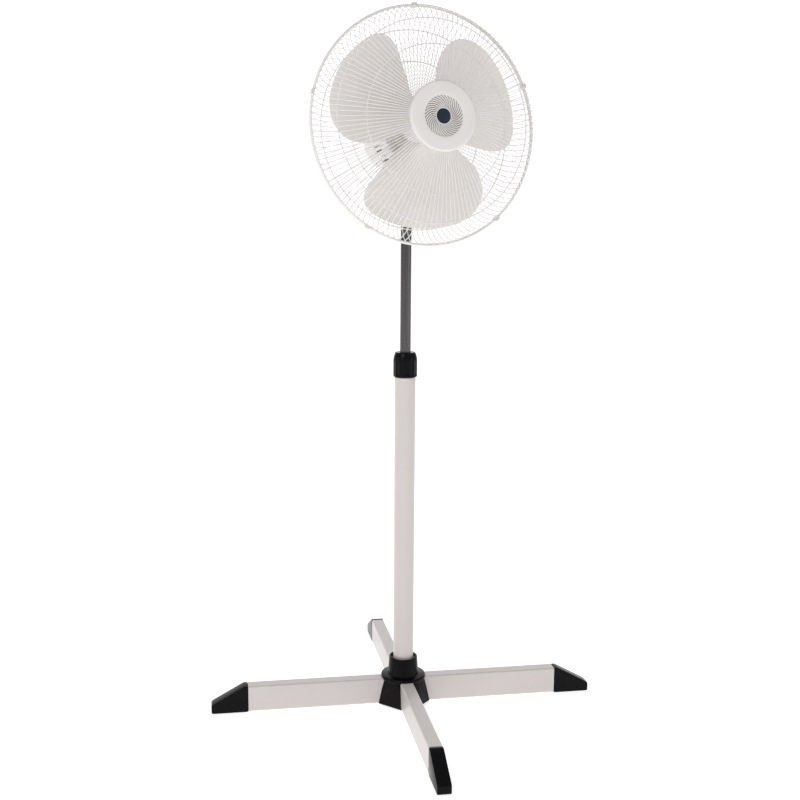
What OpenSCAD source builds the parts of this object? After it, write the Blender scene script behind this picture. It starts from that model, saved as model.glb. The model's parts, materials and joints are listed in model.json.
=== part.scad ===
// Pedestal fan on a crossed-tube base, with a sliding mast, a tilting and swinging head and a wire guard.
// Origin: centre of the base on the floor. +Z is up, the legs lie along X and Y, and the fan faces -Y.

/* [Base] */
// Distance from the centre to the end of each leg tube
leg_reach = 300; // [240:1:360]
// Width of a leg tube
leg_w = 25; // [20:0.5:32]
// Height of a leg tube
leg_h = 50; // [40:0.5:60]
// Wall of a leg tube
leg_wall = 1.5; // [1.2:0.1:2]
// Edge radius of a leg tube
leg_edge = 3; // [2:0.5:4]
// Height of the tubes above the floor, under the foot caps
foot_lift = 1; // [0.5:0.1:3]
// Length of a foot cap past its tube
cap_reach = 70; // [50:1:90]
// Length of the flat top of a foot cap
cap_flat = 8; // [5:1:15]
// Height of a foot cap's tip
cap_tip = 17; // [12:1:24]
// Wall of a foot cap
cap_wall = 2.5; // [2:0.1:3.5]
// Depth of the cap's plug inside the tube
cap_plug = 26; // [15:1:40]
// Top of the base cover's collar above the leg tubes
cover_rise = 40.5; // [30:0.5:55]
// Radius of the base cover's flange ring
cover_flange_r = 42.5; // [38:0.5:48]
// Reach of the base cover's skirt along the legs
cover_skirt = 50; // [46:0.5:58]
// Wall of the base cover
cover_wall = 2.5; // [2:0.1:3.5]

/* [Pole] */
// Outer radius of the lower pole
pole_r = 19.2; // [17:0.1:22]
// Wall of the lower pole
pole_wall = 1.2; // [1:0.1:1.6]
// Top of the lower pole above the floor
pole_top = 628; // [540:1:740]
// Outer radius of the upper pole
mast_r = 10; // [9:0.1:11.5]
// Wall of the upper pole
mast_wall = 1; // [0.8:0.1:1.5]
// Length of the upper pole that shows between the collar and the control housing
mast_shown = 254; // [200:1:320]
// Length of the upper pole below the collar
mast_hidden = 150; // [120:1:200]
// Outer radius of the collar nut
collar_r = 22.3; // [21:0.1:25]
// Height of the collar nut
collar_h = 46; // [36:0.5:56]
// Number of flutes on the collar nut
collar_flutes = 14; // [8:1:20]

/* [Control housing] */
// Width of the control housing
box_w = 56; // [50:0.5:60]
// Depth of the control housing
box_d = 56; // [52:0.5:60]
// Height of the control housing
box_h = 45; // [40:0.5:60]
// Corner radius of the control housing
box_corner = 10; // [8:0.5:14]
// Wall of the control housing
box_wall = 2.5; // [2:0.1:3]
// Width of a push button
button_w = 7.4; // [6:0.1:8]
// Height of a push button
button_h = 12; // [9:0.5:15]
// Distance from one button to the next
button_pitch = 9.4; // [8.4:0.1:10]
// How far a button stands out
button_out = 3; // [2:0.1:4]
// Travel of a button
button_travel = 2; // [1:0.1:2.5]

/* [Head] */
// Upward tilt of the head as stored
tilt_rest = 7.8; // [0:0.1:15]
// Swing of the head to its left as stored
swing_rest = 10.6; // [-20:0.1:20]
// Swing of the head to either side
swing_half = 36; // [25:0.5:38]
// Height of the tilt pivot above the control housing
tilt_rise = 11; // [10.5:0.1:16]
// Height of the fan axis above the tilt pivot
head_rise = 81; // [78:0.5:95]
// Distance from the swivel post to the guard's rim
rim_reach = 89; // [84:0.5:100]
// Radius of the swivel post
post_r = 7; // [6:0.1:8]
// Outer radius of the motor covers
motor_r = 58; // [56:0.5:62]
// Wall of the motor covers
motor_wall = 2.2; // [1.8:0.1:3]
// Radius of the fan shaft
shaft_r = 4; // [3:0.1:5]

/* [Guard] */
// Number of spokes in each guard
wire_count = 120; // [60:30:150]
// Thickness of a guard spoke
wire_d = 1.5; // [1.2:0.1:2.2]
// Thickness of a guard's stiffening ring
ring_d = 2; // [1.5:0.1:3]
// Thickness of a guard's rim wire
rim_d = 4; // [3:0.1:6]
// Outer radius of the guards
guard_r = 207; // [190:1:230]
// Depth of the front guard at the edge of the middle disc
front_depth = 80; // [70:1:95]
// Slope of the front spokes
front_slope = 16.5; // [10:0.5:22]
// Depth of the rear guard at the motor
rear_depth = 39.4; // [36:0.1:42]
// Slope of the rear spokes
rear_slope = -3.5; // [-6:0.5:0]
// Radius of the middle disc
disc_r = 58.5; // [52:0.5:62]
// Radius of the recess in the middle disc
recess_r = 34; // [28:0.5:38]
// Radius of the badge
badge_r = 12.7; // [10:0.1:15]
// Number of curved fins in the recess
fin_count = 36; // [24:1:48]

/* [Blade] */
// Radius at the tips of the blades
blade_r = 177; // [150:1:185]
// Radius of the blade hub
hub_r = 30; // [26:0.5:34]
// Depth from a blade's rear edge to its front edge
blade_depth = 45.5; // [30:0.5:48]
// Angle that a blade spans near its middle
blade_span = 98.5; // [80:0.5:104]
// Thickness of a blade
blade_t = 2.2; // [1.8:0.1:3]

/* [Hidden] */
$fn = 48;

// Clearances
gap = 0.3;
fit = 0.05;
run_fit = 0.08;

// Colours
body_white = "#dcd8d4";
shade_white = "#cfcac6";
gloss_black = "#151518";
gun_metal = "#4a4a4c";
bare_steel = "#9a9a9c";
copper = "#a8622e";
bronze = "#b08d57";
nylon = "#d9cf9a";
badge_navy = "#1f2a36";

// Base heights
leg_z = foot_lift;
leg_top = leg_z + leg_h;
leg_mid = leg_z + leg_h / 2;
plate_t = 3;
spigot_h = 55;
spigot_r = pole_r - pole_wall - gap;
pole_foot = leg_top + plate_t + gap;
bolt_r = 4;
cover_top = leg_top + cover_rise;
flange_t = 9;
flange_z = leg_top - 4;
collar_low_r = pole_r + 10;
collar_high_r = pole_r + 7.8;

// Pole heights
pole_bore = pole_r - pole_wall;
collet_ring = 7;
collar_z = pole_top + collet_ring + 1;
collar_top = collar_z + collar_h;
thread_r = pole_r - 1.4;
mast_foot = collar_z - mast_hidden;
box_z = collar_top + mast_shown;
box_top = box_z + box_h;
mast_top = box_z + box_h * 0.72;
guide_h = 30;

// Control housing
split_y = 6;
boss_r = mast_r + 5;
button_z = box_z + box_h * 0.55;
button_flange = 1.2;
block_y = -box_d / 2 + box_wall + gap + button_flange + button_travel + gap;
block_d = -block_y - boss_r - gap;
ear_in = 9.4;
ear_t = 8;
ear_r = 9.5;
tilt_z = box_top + tilt_rise;
tilt_bolt_r = 3;
tilt_hex = 10;
screw_r = 1.6;
screw_head_h = 1.8;
gland_r = 5;
gland_rise = 16;
stem_r = 1.5;

// Swivel, measured down from the fan axis
boss_low = -head_rise + 14.3;
boss_high = -48.5;
shoulder_t = 3.5;
shoulder_r = 16;
clip_t = 1.2;
groove = 1.3;
link_t = 3;
link_w = 6;
link_eye_r = 5;
link_low = boss_low + 0.4;
link_pin = 20;
link_pin_r = 2.5;
link_side = 30;

// Motor, measured back from the rim plane
post_d = -rim_reach;
front_face = -42.2;
seam_d = -72;
front_round = 8;
rear_round = 22;
round_steps = 8;
rear_end = -172;
core_r = 44;
core_bore = 26;
core_half = 18;
coil_len = 11.5;
rotor_r = 25.5;
shield_d = -50;
case_d = -122;
bearing_r = 8;
bearing_len = 9;
bolt_ring = core_r - 6;
motor_bolt_r = 2;
screw_x = 30;
screw_len = 16;
screw_head_r = 3.4;
rim_wall = 2;

// Gears
gear_m = 0.6;
gear_shaft_r = 3;
worm_pitch_r = 4.4;
worm_bore_r = 2.4;
wheel_teeth = 34;
pinion_teeth = 10;
crank_teeth = 40;
wheel_r = gear_m * wheel_teeth / 2;
wheel_x = worm_pitch_r + wheel_r;
wheel_d = -140;
gear_centre = gear_m * (pinion_teeth + crank_teeth) / 2;
gear_angle = 180 + acos(wheel_x / gear_centre);
crank_x = wheel_x + gear_centre * cos(gear_angle);
crank_d = wheel_d + gear_centre * sin(gear_angle);
pinion_y = -12.5;
worm_pitch = PI * gear_m;

// Crank linkage, seen from above: post at the middle, link pin to the right and behind, crank behind
crank_arm = post_d - crank_d;
function crank_to_pin(swing) =
  norm([crank_arm * sin(swing - link_side) + link_pin, crank_arm * cos(swing - link_side)]);
link_far = crank_to_pin(swing_half);
link_near = crank_to_pin(-swing_half);
link_len = (link_far + link_near) / 2;
crank_throw = (link_far - link_near) / 2;
pin_at = link_pin * [cos(link_side), sin(link_side)];
crank_at = crank_arm * [-sin(swing_rest), cos(swing_rest)];
crank_gap = norm(crank_at - pin_at);
link_turn = atan2(pin_at[0] - crank_at[0], crank_at[1] - pin_at[1])
  - acos((pow(link_len, 2) + pow(crank_gap, 2) - pow(crank_throw, 2)) / (2 * link_len * crank_gap));
eye_at = pin_at + link_len * [-sin(link_turn), cos(link_turn)];
worm_len = 5 * worm_pitch;

// Gear case, across, up and back
case_x = [-19, 29];
case_y = [-27, 14];
case_back = -158;
case_wall = 2;

// Guards
rim_r = guard_r - rim_d / 2;
rim_z = rim_d / 2 + 0.3;
wire_end = rim_r - rim_d / 2 - wire_d / 2 - fit;
spoke_in = 56;
spoke_start = 48;
plate_in = 20.8;
plate_out = 60;
guard_plate_t = 1.2;
front_ring_radii = [spoke_in - 6, 126, 173];
rear_ring_radii = [120, 175];
plate_d = rear_depth - tan(rear_slope) * (plate_out - spoke_in) + wire_d / 2 + fit;
fin_in = badge_r + 0.8;
fin_steps = 6;
fin_sweep = 34;
fin_t = 1.5;
clip_w = 7.6;
clip_thick = 1.6;

// Blade
blade_rear = -24.8;
hub_back = -26;
hub_front = 27;
hub_wall = 3;
pin_d = hub_back + 2;
pin_half = 9;
pin_r = 1.5;
blade_start = 102;
blade_steps = 14;
chord_steps = 12;

function shoulder(depth, slope) =
  (depth - tan(slope) * (wire_end - spoke_in) - rim_z) / (cos(slope) - tan(slope) * (1 - sin(slope)));

// ---------- shared shapes ----------

module rounded_bar(w, h, r, length) {
  linear_extrude(length) union() {
    square([w - 2 * r, h], center = true);
    square([w, h - 2 * r], center = true);
    for (x = [-1, 1], y = [-1, 1])
      translate([x * (w / 2 - r), y * (h / 2 - r)]) circle(r, $fn = 32);
  }
}

module ring(r_out, r_in, h) {
  difference() {
    cylinder(h = h, r = r_out);
    translate([0, 0, -1]) cylinder(h = h + 2, r = r_in);
  }
}

module torus(r, d) {
  rotate_extrude($fn = 120) translate([r, 0]) circle(d = d, $fn = 20);
}

module screw(r, head_r, head_h, length) {
  cylinder(h = length, r = r, $fn = 24);
  translate([0, 0, length]) difference() {
    cylinder(h = head_h, r = head_r, $fn = 32);
    for (a = [0, 90])
      rotate([0, 0, a]) translate([-head_r * 0.6, -0.4, head_h * 0.4]) cube([head_r * 1.2, 0.8, head_h]);
  }
}

module hex(across, h) {
  cylinder(h = h, r = across / sqrt(3), $fn = 6);
}

function gear_points(teeth, m) = [
  for (i = [0:teeth - 1], k = [0:3])
    let (root = m * (teeth / 2 - 1.2), tip = m * (teeth / 2 + 0.8),
         r = (k == 0 || k == 3) ? root : tip,
         a = (i + [-0.27, -0.12, 0.12, 0.27][k]) * 360 / teeth)
    r * [cos(a), sin(a)]
];

module gear(teeth, m, h) {
  linear_extrude(h) polygon(gear_points(teeth, m));
}

// Head frames: the swivel post's top view, and the fan axis with its own Z pointing out of the front
module tilt_frame() {
  translate([0, 0, tilt_z]) rotate([-tilt_rest, 0, 0]) children();
}

module head_frame() {
  tilt_frame() translate([0, 0, head_rise]) rotate([0, 0, swing_rest]) children();
}

module fan_axis() {
  head_frame() rotate([90, 0, 0]) translate([0, 0, rim_reach]) children();
}

// A frame on the fan axis whose own Z points up, at a place across and along it
module upright(x, d) {
  fan_axis() translate([x, 0, d]) rotate([-90, 0, 0]) children();
}

// ---------- base ----------

module leg_bar(half) {
  // half = 1 keeps the upper half at the crossing, -1 keeps the lower half
  lap = leg_w / 2 + gap / 2;
  lap_gap = 0.1;
  difference() {
    translate([-leg_reach, 0, leg_mid]) rotate([90, 0, 90])
      rounded_bar(leg_w, leg_h, leg_edge, 2 * leg_reach);
    translate([-leg_reach - 1, 0, leg_mid]) rotate([90, 0, 90])
      rounded_bar(leg_w - 2 * leg_wall, leg_h - 2 * leg_wall, leg_edge - 1, 2 * leg_reach + 2);
    translate([-lap, -leg_w, leg_mid - (half + 1) / 2 * (leg_h + 1) + half * lap_gap])
      cube([2 * lap, 2 * leg_w, leg_h + 1]);
    if (half > 0) translate([0, 0, leg_mid]) cylinder(h = leg_h, r = bolt_r + gap);
  }
}

module leg_tube_side() {
  color(body_white) leg_bar(-1);
}

module leg_tube_front() {
  color(body_white) rotate([0, 0, 90]) leg_bar(1);
}

module cap_side() {
  // Side view of a cap: a short flat top, a slope and a low blunt tip
  tip_r = 4;
  full = leg_h + foot_lift;
  difference() {
    polygon([[0, 0], [cap_reach, 0], [cap_reach, cap_tip], [cap_flat, full], [0, full]]);
    translate([cap_reach - tip_r, cap_tip - tip_r]) difference() {
      square(tip_r + 1);
      circle(tip_r, $fn = 32);
    }
  }
}

module foot_cap(angle) {
  hollow_w = leg_w - 2 * leg_wall - 2 * cap_wall;
  hollow_z = leg_z + leg_wall + cap_wall;
  hollow_top = leg_top - hollow_z + leg_z;
  hollow_end = cap_reach - 2 * cap_wall;
  plug_w = leg_w - 2 * leg_wall - gap;
  plug_h = leg_h - 2 * leg_wall - gap;
  seat = 0.1;
  rotate([0, 0, angle]) color(gloss_black) {
    difference() {
      translate([leg_reach + seat, leg_w / 2, 0]) rotate([90, 0, 0]) linear_extrude(leg_w) cap_side();
      translate([leg_reach, hollow_w / 2, 0]) rotate([90, 0, 0]) linear_extrude(hollow_w)
        polygon([[-1, hollow_z], [hollow_end, hollow_z], [hollow_end, cap_tip - 2 * cap_wall],
          [cap_flat - cap_wall, hollow_top], [-1, hollow_top]]);
    }
    translate([leg_reach - cap_plug, 0, leg_mid]) rotate([90, 0, 90]) difference() {
      rounded_bar(plug_w, plug_h, leg_edge - 1.2, cap_plug + 1);
      translate([0, 0, -1]) rounded_bar(plug_w - 2 * cap_wall, plug_h + gap - 2 * cap_wall, 1, cap_plug);
    }
  }
}

module foot_cap_right() {
  foot_cap(0);
}

module foot_cap_back() {
  foot_cap(90);
}

module foot_cap_left() {
  foot_cap(180);
}

module foot_cap_front() {
  foot_cap(270);
}

module skirt_hull(inset) {
  // Round at the flange and eight-sided at the floor, with a flat between each pair of legs
  near = leg_w / 2 + 1 - inset;
  far = cover_skirt - inset;
  hull() {
    translate([0, 0, flange_z]) cylinder(h = 1, r = cover_flange_r - 1.5 - inset, $fn = 32);
    translate([0, 0, foot_lift]) linear_extrude(0.5)
      polygon([for (a = [0:90:270], p = [[far, near], [near, far]])
        [p[0] * cos(a) - p[1] * sin(a), p[0] * sin(a) + p[1] * cos(a)]]);
  }
}

module base_cover() {
  lip = 3;
  edge = 1.5;
  shelf = 4;
  color(gloss_black) difference() {
    union() {
      difference() {
        skirt_hull(0);
        translate([0, 0, -1.2]) skirt_hull(cover_wall);
      }
      rotate_extrude() polygon([
        [0, flange_z], [cover_flange_r - edge, flange_z], [cover_flange_r, flange_z + edge],
        [cover_flange_r, flange_z + flange_t - 2], [cover_flange_r - 2, flange_z + flange_t],
        [collar_low_r, flange_z + flange_t], [collar_high_r, cover_top - edge],
        [collar_high_r - edge, cover_top], [collar_high_r - lip, cover_top],
        [collar_high_r - lip - edge, cover_top - shelf], [0, cover_top - shelf]]);
    }
    // Inside of the flange and collar
    translate([0, 0, flange_z - 1])
      cylinder(h = leg_top + gap - flange_z + 1, r = cover_flange_r - cover_wall - edge);
    translate([0, 0, leg_top]) cylinder(h = plate_t + 1.5, r = spigot_r + 9.5);
    cylinder(h = cover_top + 1, r = pole_r + gap);
    // Ways out for the four legs
    for (a = [0, 90]) rotate([0, 0, a])
      translate([-cover_skirt - 2, -leg_w / 2 - gap, -1])
        cube([2 * cover_skirt + 4, leg_w + 2 * gap, leg_top + gap + 1]);
  }
}

module pole_socket() {
  color(bare_steel) difference() {
    union() {
      translate([0, 0, leg_top]) cylinder(h = plate_t, r = spigot_r + 9);
      translate([0, 0, leg_top]) cylinder(h = plate_t + spigot_h, r = spigot_r);
    }
    translate([0, 0, leg_top + plate_t]) cylinder(h = spigot_h + 1, r = spigot_r - 2);
    translate([0, 0, leg_top - 1]) cylinder(h = plate_t + 2, r = bolt_r + gap);
  }
}

module base_nut() {
  side = 14;
  thick = 8;
  color(bare_steel) translate([0, 0, leg_z + leg_wall]) difference() {
    translate([-side / 2, -side / 2, 0]) cube([side, side, thick]);
    translate([0, 0, -1]) cylinder(h = thick + 2, r = bolt_r + fit);
  }
}

module base_bolt() {
  shank = leg_h - leg_wall - 1;
  head_across = 13;
  head_h = 5.5;
  color(bare_steel) {
    translate([0, 0, leg_top + plate_t - shank]) cylinder(h = shank + 1, r = bolt_r);
    translate([0, 0, leg_top + plate_t]) hex(head_across, head_h);
  }
}

// ---------- pole ----------

module lower_pole() {
  color(body_white) difference() {
    translate([0, 0, pole_foot]) cylinder(h = pole_top - pole_foot, r = pole_r, $fn = 96);
    translate([0, 0, pole_foot - 1]) cylinder(h = pole_top - pole_foot + 2, r = pole_bore, $fn = 96);
  }
}

module pole_collet() {
  sleeve = 38;
  neck = 26;
  jaw = 12;
  whole = sleeve + collet_ring + neck + jaw;
  neck_z = pole_top + collet_ring;
  jaw_z = neck_z + neck;
  slit = 1.5;
  notch = 0.8;
  color(shade_white) difference() {
    union() {
      translate([0, 0, pole_top - sleeve]) cylinder(h = sleeve, r = pole_bore - fit);
      translate([0, 0, pole_top]) cylinder(h = collet_ring, r = pole_r + 0.2);
      translate([0, 0, neck_z]) cylinder(h = neck, r = thread_r);
      translate([0, 0, jaw_z]) cylinder(h = jaw, r1 = thread_r - 2, r2 = mast_r + 2.5);
    }
    translate([0, 0, pole_top - sleeve - 1]) cylinder(h = whole + 2, r = mast_r + run_fit);
    // Two shallow grooves round the ring, and the slits that let the jaw close
    for (k = [1, 2]) translate([0, 0, pole_top + k * collet_ring / 3 - notch / 2])
      ring(pole_r + 1, pole_r - notch / 2, notch);
    for (a = [0, 60, 120]) rotate([0, 0, a])
      translate([-thread_r - 1, -slit / 2, jaw_z - 6]) cube([2 * thread_r + 2, slit, jaw + 8]);
  }
}

module collar_nut() {
  taper = collar_h * 0.32;
  top_r = collar_r - 3.6;
  edge = 1.2;
  flute_r = 1.7;
  flute_lean = 4.5;
  thread_h = 26;
  cone_h = 13;
  bore_gap = 0.8;
  color(gloss_black) difference() {
    translate([0, 0, collar_z]) rotate_extrude($fn = 96) polygon([
      [0, 0], [collar_r - 2.2, 0], [collar_r - 0.6, 0.8], [collar_r, 2.4], [collar_r, collar_h - taper],
      [collar_r - edge, collar_h - taper * 0.55], [top_r, collar_h - edge], [top_r - edge, collar_h],
      [0, collar_h]]);
    for (i = [0:collar_flutes - 1]) rotate([0, 0, (i + 0.5) * 360 / collar_flutes])
      translate([collar_r + 0.9, 0, collar_z + 3.5]) rotate([0, -flute_lean, 0])
        cylinder(h = collar_h, r = flute_r, $fn = 24);
    // Thread, cone and the hole for the upper pole
    translate([0, 0, collar_z - 1]) cylinder(h = thread_h + 1, r = thread_r + gap);
    translate([0, 0, collar_z + thread_h]) cylinder(h = cone_h, r1 = thread_r + gap, r2 = mast_r + 3.2);
    translate([0, 0, collar_z - 1]) cylinder(h = collar_h + 2, r = mast_r + bore_gap);
  }
}

module upper_pole() {
  color(gun_metal) difference() {
    translate([0, 0, mast_foot]) cylinder(h = mast_top - mast_foot, r = mast_r, $fn = 64);
    translate([0, 0, mast_foot - 1]) cylinder(h = mast_top - mast_foot + 2, r = mast_r - mast_wall, $fn = 64);
  }
}

module pole_guide() {
  color(shade_white) translate([0, 0, mast_foot]) difference() {
    ring(pole_bore - run_fit, mast_r + fit, guide_h);
    for (a = [0, 90]) rotate([0, 0, a])
      translate([-pole_bore, -0.75, -1]) cube([pole_bore * 2, 1.5, guide_h * 0.6]);
  }
}

// ---------- control housing ----------

module box_solid(inset, z0, z1) {
  translate([0, 0, z0]) rounded_bar(box_w - 2 * inset, box_d - 2 * inset, box_corner - inset, z1 - z0);
}

module box_part(side) {
  // side = -1 keeps the front, 1 keeps the back
  big = 200;
  translate([-big / 2, side > 0 ? split_y + 0.1 : split_y - big - 0.1, box_z - 50]) cube([big, big, big]);
}

module housing_walls() {
  difference() {
    box_solid(0, box_z, box_top);
    box_solid(box_wall, box_z + box_wall, box_top - box_wall);
  }
}

module control_housing() {
  plinth = tilt_z - box_top + box_wall;
  hole_w = button_w + 2 * gap;
  hole_h = button_h + 2 * gap;
  color(body_white) difference() {
    union() {
      intersection() {
        housing_walls();
        box_part(-1);
      }
      // Socket for the upper pole, with a skirt under the housing
      translate([0, 0, box_z - 6]) cylinder(h = mast_top - box_z + 8, r = boss_r);
      // Ears of the tilt hinge on a plinth
      for (s = [-1, 1]) translate([s * (ear_in + ear_t / 2) - ear_t / 2, 0, tilt_z]) rotate([90, 0, 90]) {
        cylinder(h = ear_t, r = ear_r);
        translate([-ear_r, -plinth, 0]) cube([2 * ear_r, plinth, ear_t]);
      }
    }
    translate([0, 0, box_z - 7]) cylinder(h = mast_top + 7 - box_z, r = mast_r + fit);
    translate([-box_w, 0, tilt_z]) rotate([0, 90, 0]) cylinder(h = 2 * box_w, r = tilt_bolt_r + fit);
    for (i = [-1.5:1.5]) translate([i * button_pitch - hole_w / 2, -box_d / 2 - 1, button_z - hole_h / 2])
      cube([hole_w, box_wall + 3, hole_h]);
    for (p = screw_spots()) translate([p[0], split_y - 12, p[1]]) rotate([-90, 0, 0])
      cylinder(h = 20, r = screw_r + fit);
  }
}

function screw_spots() = [for (s = [-1, 1]) [s * (box_w / 2 - 8), box_z + 8]];

module control_back() {
  color(body_white) difference() {
    union() {
      intersection() {
        difference() {
          housing_walls();
          cylinder(h = box_top + 1, r = boss_r + gap);
          for (s = [-1, 1]) translate([s * (ear_in + ear_t / 2), 0, box_top - box_wall / 2])
            cube([ear_t + 2 * gap, 2 * ear_r + 2 * gap, box_wall + 2], center = true);
        }
        box_part(1);
      }
      for (p = screw_spots()) translate([p[0], split_y + 0.1, p[1]]) rotate([-90, 0, 0])
        cylinder(h = box_d / 2 - split_y - 1, r = screw_r + 2.2);
    }
    for (p = screw_spots()) translate([p[0], split_y - 1, p[1]]) rotate([-90, 0, 0]) {
      cylinder(h = box_d, r = screw_r + fit);
      translate([0, 0, box_d / 2 - split_y - 1.7]) cylinder(h = 10, r = screw_r * 2 + fit);
    }
    translate([0, box_d / 2 - box_wall - 1, box_z + gland_rise]) rotate([-90, 0, 0])
      cylinder(h = box_wall + 2, r = gland_r + fit);
  }
}

module housing_screws() {
  length = 20;
  color(bare_steel) for (p = screw_spots())
    translate([p[0], box_d / 2 - 2.6 - length, p[1]]) rotate([-90, 0, 0])
      screw(screw_r, screw_r * 2, screw_head_h, length);
}

module switch_block() {
  block_w = 4 * button_pitch + 2;
  block_h = 18;
  color(gloss_black) difference() {
    translate([-block_w / 2, block_y, button_z - block_h / 2]) cube([block_w, block_d, block_h]);
    for (i = [-1.5:1.5]) translate([i * button_pitch, block_y - 1, button_z]) rotate([-90, 0, 0])
      cylinder(h = block_d, r = stem_r + run_fit, $fn = 24);
  }
}

module push_button(place, tint) {
  // A keycap, a flange behind the wall that holds it in, and a stem that runs in the switch block
  face_y = -box_d / 2 - button_out;
  flange_y = -box_d / 2 + box_wall + gap;
  stem_end = block_y + block_d - 1 - gap - button_travel;
  rim = 0.8;
  translate([(place - 1.5) * button_pitch, 0, button_z]) color(tint) {
    translate([-button_w / 2, face_y, -button_h / 2]) cube([button_w, flange_y - face_y + 1, button_h]);
    translate([-button_w / 2 - rim, flange_y, -button_h / 2 - rim])
      cube([button_w + 2 * rim, button_flange, button_h + 2 * rim]);
    translate([0, flange_y + 1, 0]) rotate([-90, 0, 0])
      cylinder(h = stem_end - flange_y - 1, r = stem_r, $fn = 24);
  }
}

module button_off() {
  push_button(0, badge_navy);
}

module button_low() {
  push_button(1, shade_white);
}

module button_medium() {
  push_button(2, shade_white);
}

module button_high() {
  push_button(3, shade_white);
}

module cord_gland() {
  flange_r = gland_r + 1.5;
  inner_t = 2.2;
  nose = 8;
  bore_r = 3.4;
  color(gloss_black) translate([0, box_d / 2, box_z + gland_rise]) rotate([-90, 0, 0]) difference() {
    union() {
      translate([0, 0, -box_wall - gap - inner_t]) cylinder(h = inner_t, r = flange_r);
      translate([0, 0, -box_wall - 1]) cylinder(h = box_wall + 2, r = gland_r);
      translate([0, 0, 0.2]) cylinder(h = nose, r1 = flange_r, r2 = gland_r);
    }
    translate([0, 0, -box_wall - inner_t - 1]) cylinder(h = box_wall + inner_t + nose + 2, r = bore_r);
  }
}

module tilt_bolt() {
  half = ear_in + ear_t;
  head_h = 4;
  past_nut = 6;
  color(bare_steel) {
    translate([-half - 1, 0, tilt_z]) rotate([0, 90, 0])
      cylinder(h = 2 * half + 1 + past_nut, r = tilt_bolt_r);
    translate([-half - 0.1 - head_h, 0, tilt_z]) rotate([0, 90, 0]) hex(tilt_hex, head_h);
  }
}

module tilt_nut() {
  nut_h = 5;
  color(bare_steel) translate([ear_in + ear_t + 0.1, 0, tilt_z]) rotate([0, 90, 0]) difference() {
    hex(tilt_hex, nut_h);
    translate([0, 0, -1]) cylinder(h = nut_h + 2, r = tilt_bolt_r + fit);
  }
}

// ---------- tilt bracket ----------

module tilt_bracket() {
  tongue = ear_in - gap;
  plate_z = head_rise + boss_low - gap - shoulder_t;
  post_end = boss_high + 3;
  lug_r = 5.5;
  color(gun_metal) tilt_frame() difference() {
    union() {
      translate([-tongue, 0, 0]) rotate([0, 90, 0]) cylinder(h = 2 * tongue, r = ear_r - 0.5);
      translate([-tongue, -ear_r + 0.5, 0]) cube([2 * tongue, 2 * ear_r - 1, plate_z + 1]);
      translate([0, 0, plate_z]) cylinder(h = shoulder_t, r = shoulder_r);
      translate([0, 0, plate_z]) cylinder(h = head_rise + post_end - plate_z, r = post_r);
      // Lug beside the post with the pin of the crank link
      rotate([0, 0, link_side]) {
        translate([0, -lug_r, plate_z]) cube([link_pin, 2 * lug_r, shoulder_t]);
        translate([link_pin, 0, plate_z]) cylinder(h = shoulder_t, r = lug_r);
        translate([link_pin, 0, plate_z])
          cylinder(h = link_low + head_rise + link_t - plate_z, r = link_pin_r);
      }
    }
    translate([-ear_in - 1, 0, 0]) rotate([0, 90, 0]) cylinder(h = 2 * ear_in + 2, r = tilt_bolt_r + run_fit);
    // Groove for the clip
    translate([0, 0, head_rise + boss_high + 0.2]) difference() {
      cylinder(h = clip_t + 0.2, r = post_r + 1);
      translate([0, 0, -1]) cylinder(h = clip_t + 3, r = post_r - groove);
    }
  }
}

module swivel_clip() {
  mouth = 5;
  color(bare_steel) tilt_frame() translate([0, 0, head_rise + boss_high + 0.3]) difference() {
    ring(post_r + 3, post_r - groove + fit, clip_t);
    translate([-mouth / 2, 0, -1]) cube([mouth, 2 * post_r, clip_t + 2]);
  }
}

module crank_link() {
  color(bare_steel) tilt_frame()
    translate([pin_at[0], pin_at[1], head_rise + link_low]) rotate([0, 0, link_turn]) difference() {
      union() {
        cylinder(h = link_t, r = link_eye_r);
        translate([0, link_len, 0]) cylinder(h = link_t, r = link_eye_r);
        translate([-link_w / 2, 0, 0]) cube([link_w, link_len, link_t]);
      }
      translate([0, 0, -1]) cylinder(h = link_t + 2, r = link_pin_r + run_fit);
      translate([0, link_len, -1]) cylinder(h = link_t + 2, r = link_pin_r + run_fit);
    }
}

// ---------- motor ----------

function round_points(r, end, radius, n) = [
  for (i = [0:n])
    let (a = 90 * i / n)
    [r - radius + radius * cos(a), end + radius - radius * sin(a)]
];

module shell_outline(r, near, end, radius) {
  // Half section of a round shell from its open mouth to its rounded end
  polygon(concat([[0, near], [r, near]], round_points(r, end, radius, round_steps), [[0, end]]));
}

module front_cover() {
  slots = 32;
  slot_in = 27;
  slot_w = 2.4;
  neck_h = 11;
  color(body_white) fan_axis() difference() {
    union() {
      rotate([180, 0, 0]) rotate_extrude($fn = 96) shell_outline(motor_r, -seam_d, -front_face, front_round);
      translate([0, 0, front_face - 0.5]) cylinder(h = neck_h, r = plate_in - fit * 4);
    }
    rotate([180, 0, 0]) rotate_extrude($fn = 96)
      shell_outline(motor_r - motor_wall, -seam_d + 1, -front_face + motor_wall, front_round - motor_wall);
    translate([0, 0, front_face - 5]) cylinder(h = 30, r = bearing_r + 6.5);
    for (i = [0:slots - 1]) rotate([0, 0, (i + 0.5) * 360 / slots])
      translate([slot_in, -slot_w / 2, front_face - 4]) cube([motor_r - front_round - slot_in, slot_w, 8]);
  }
}

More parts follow.
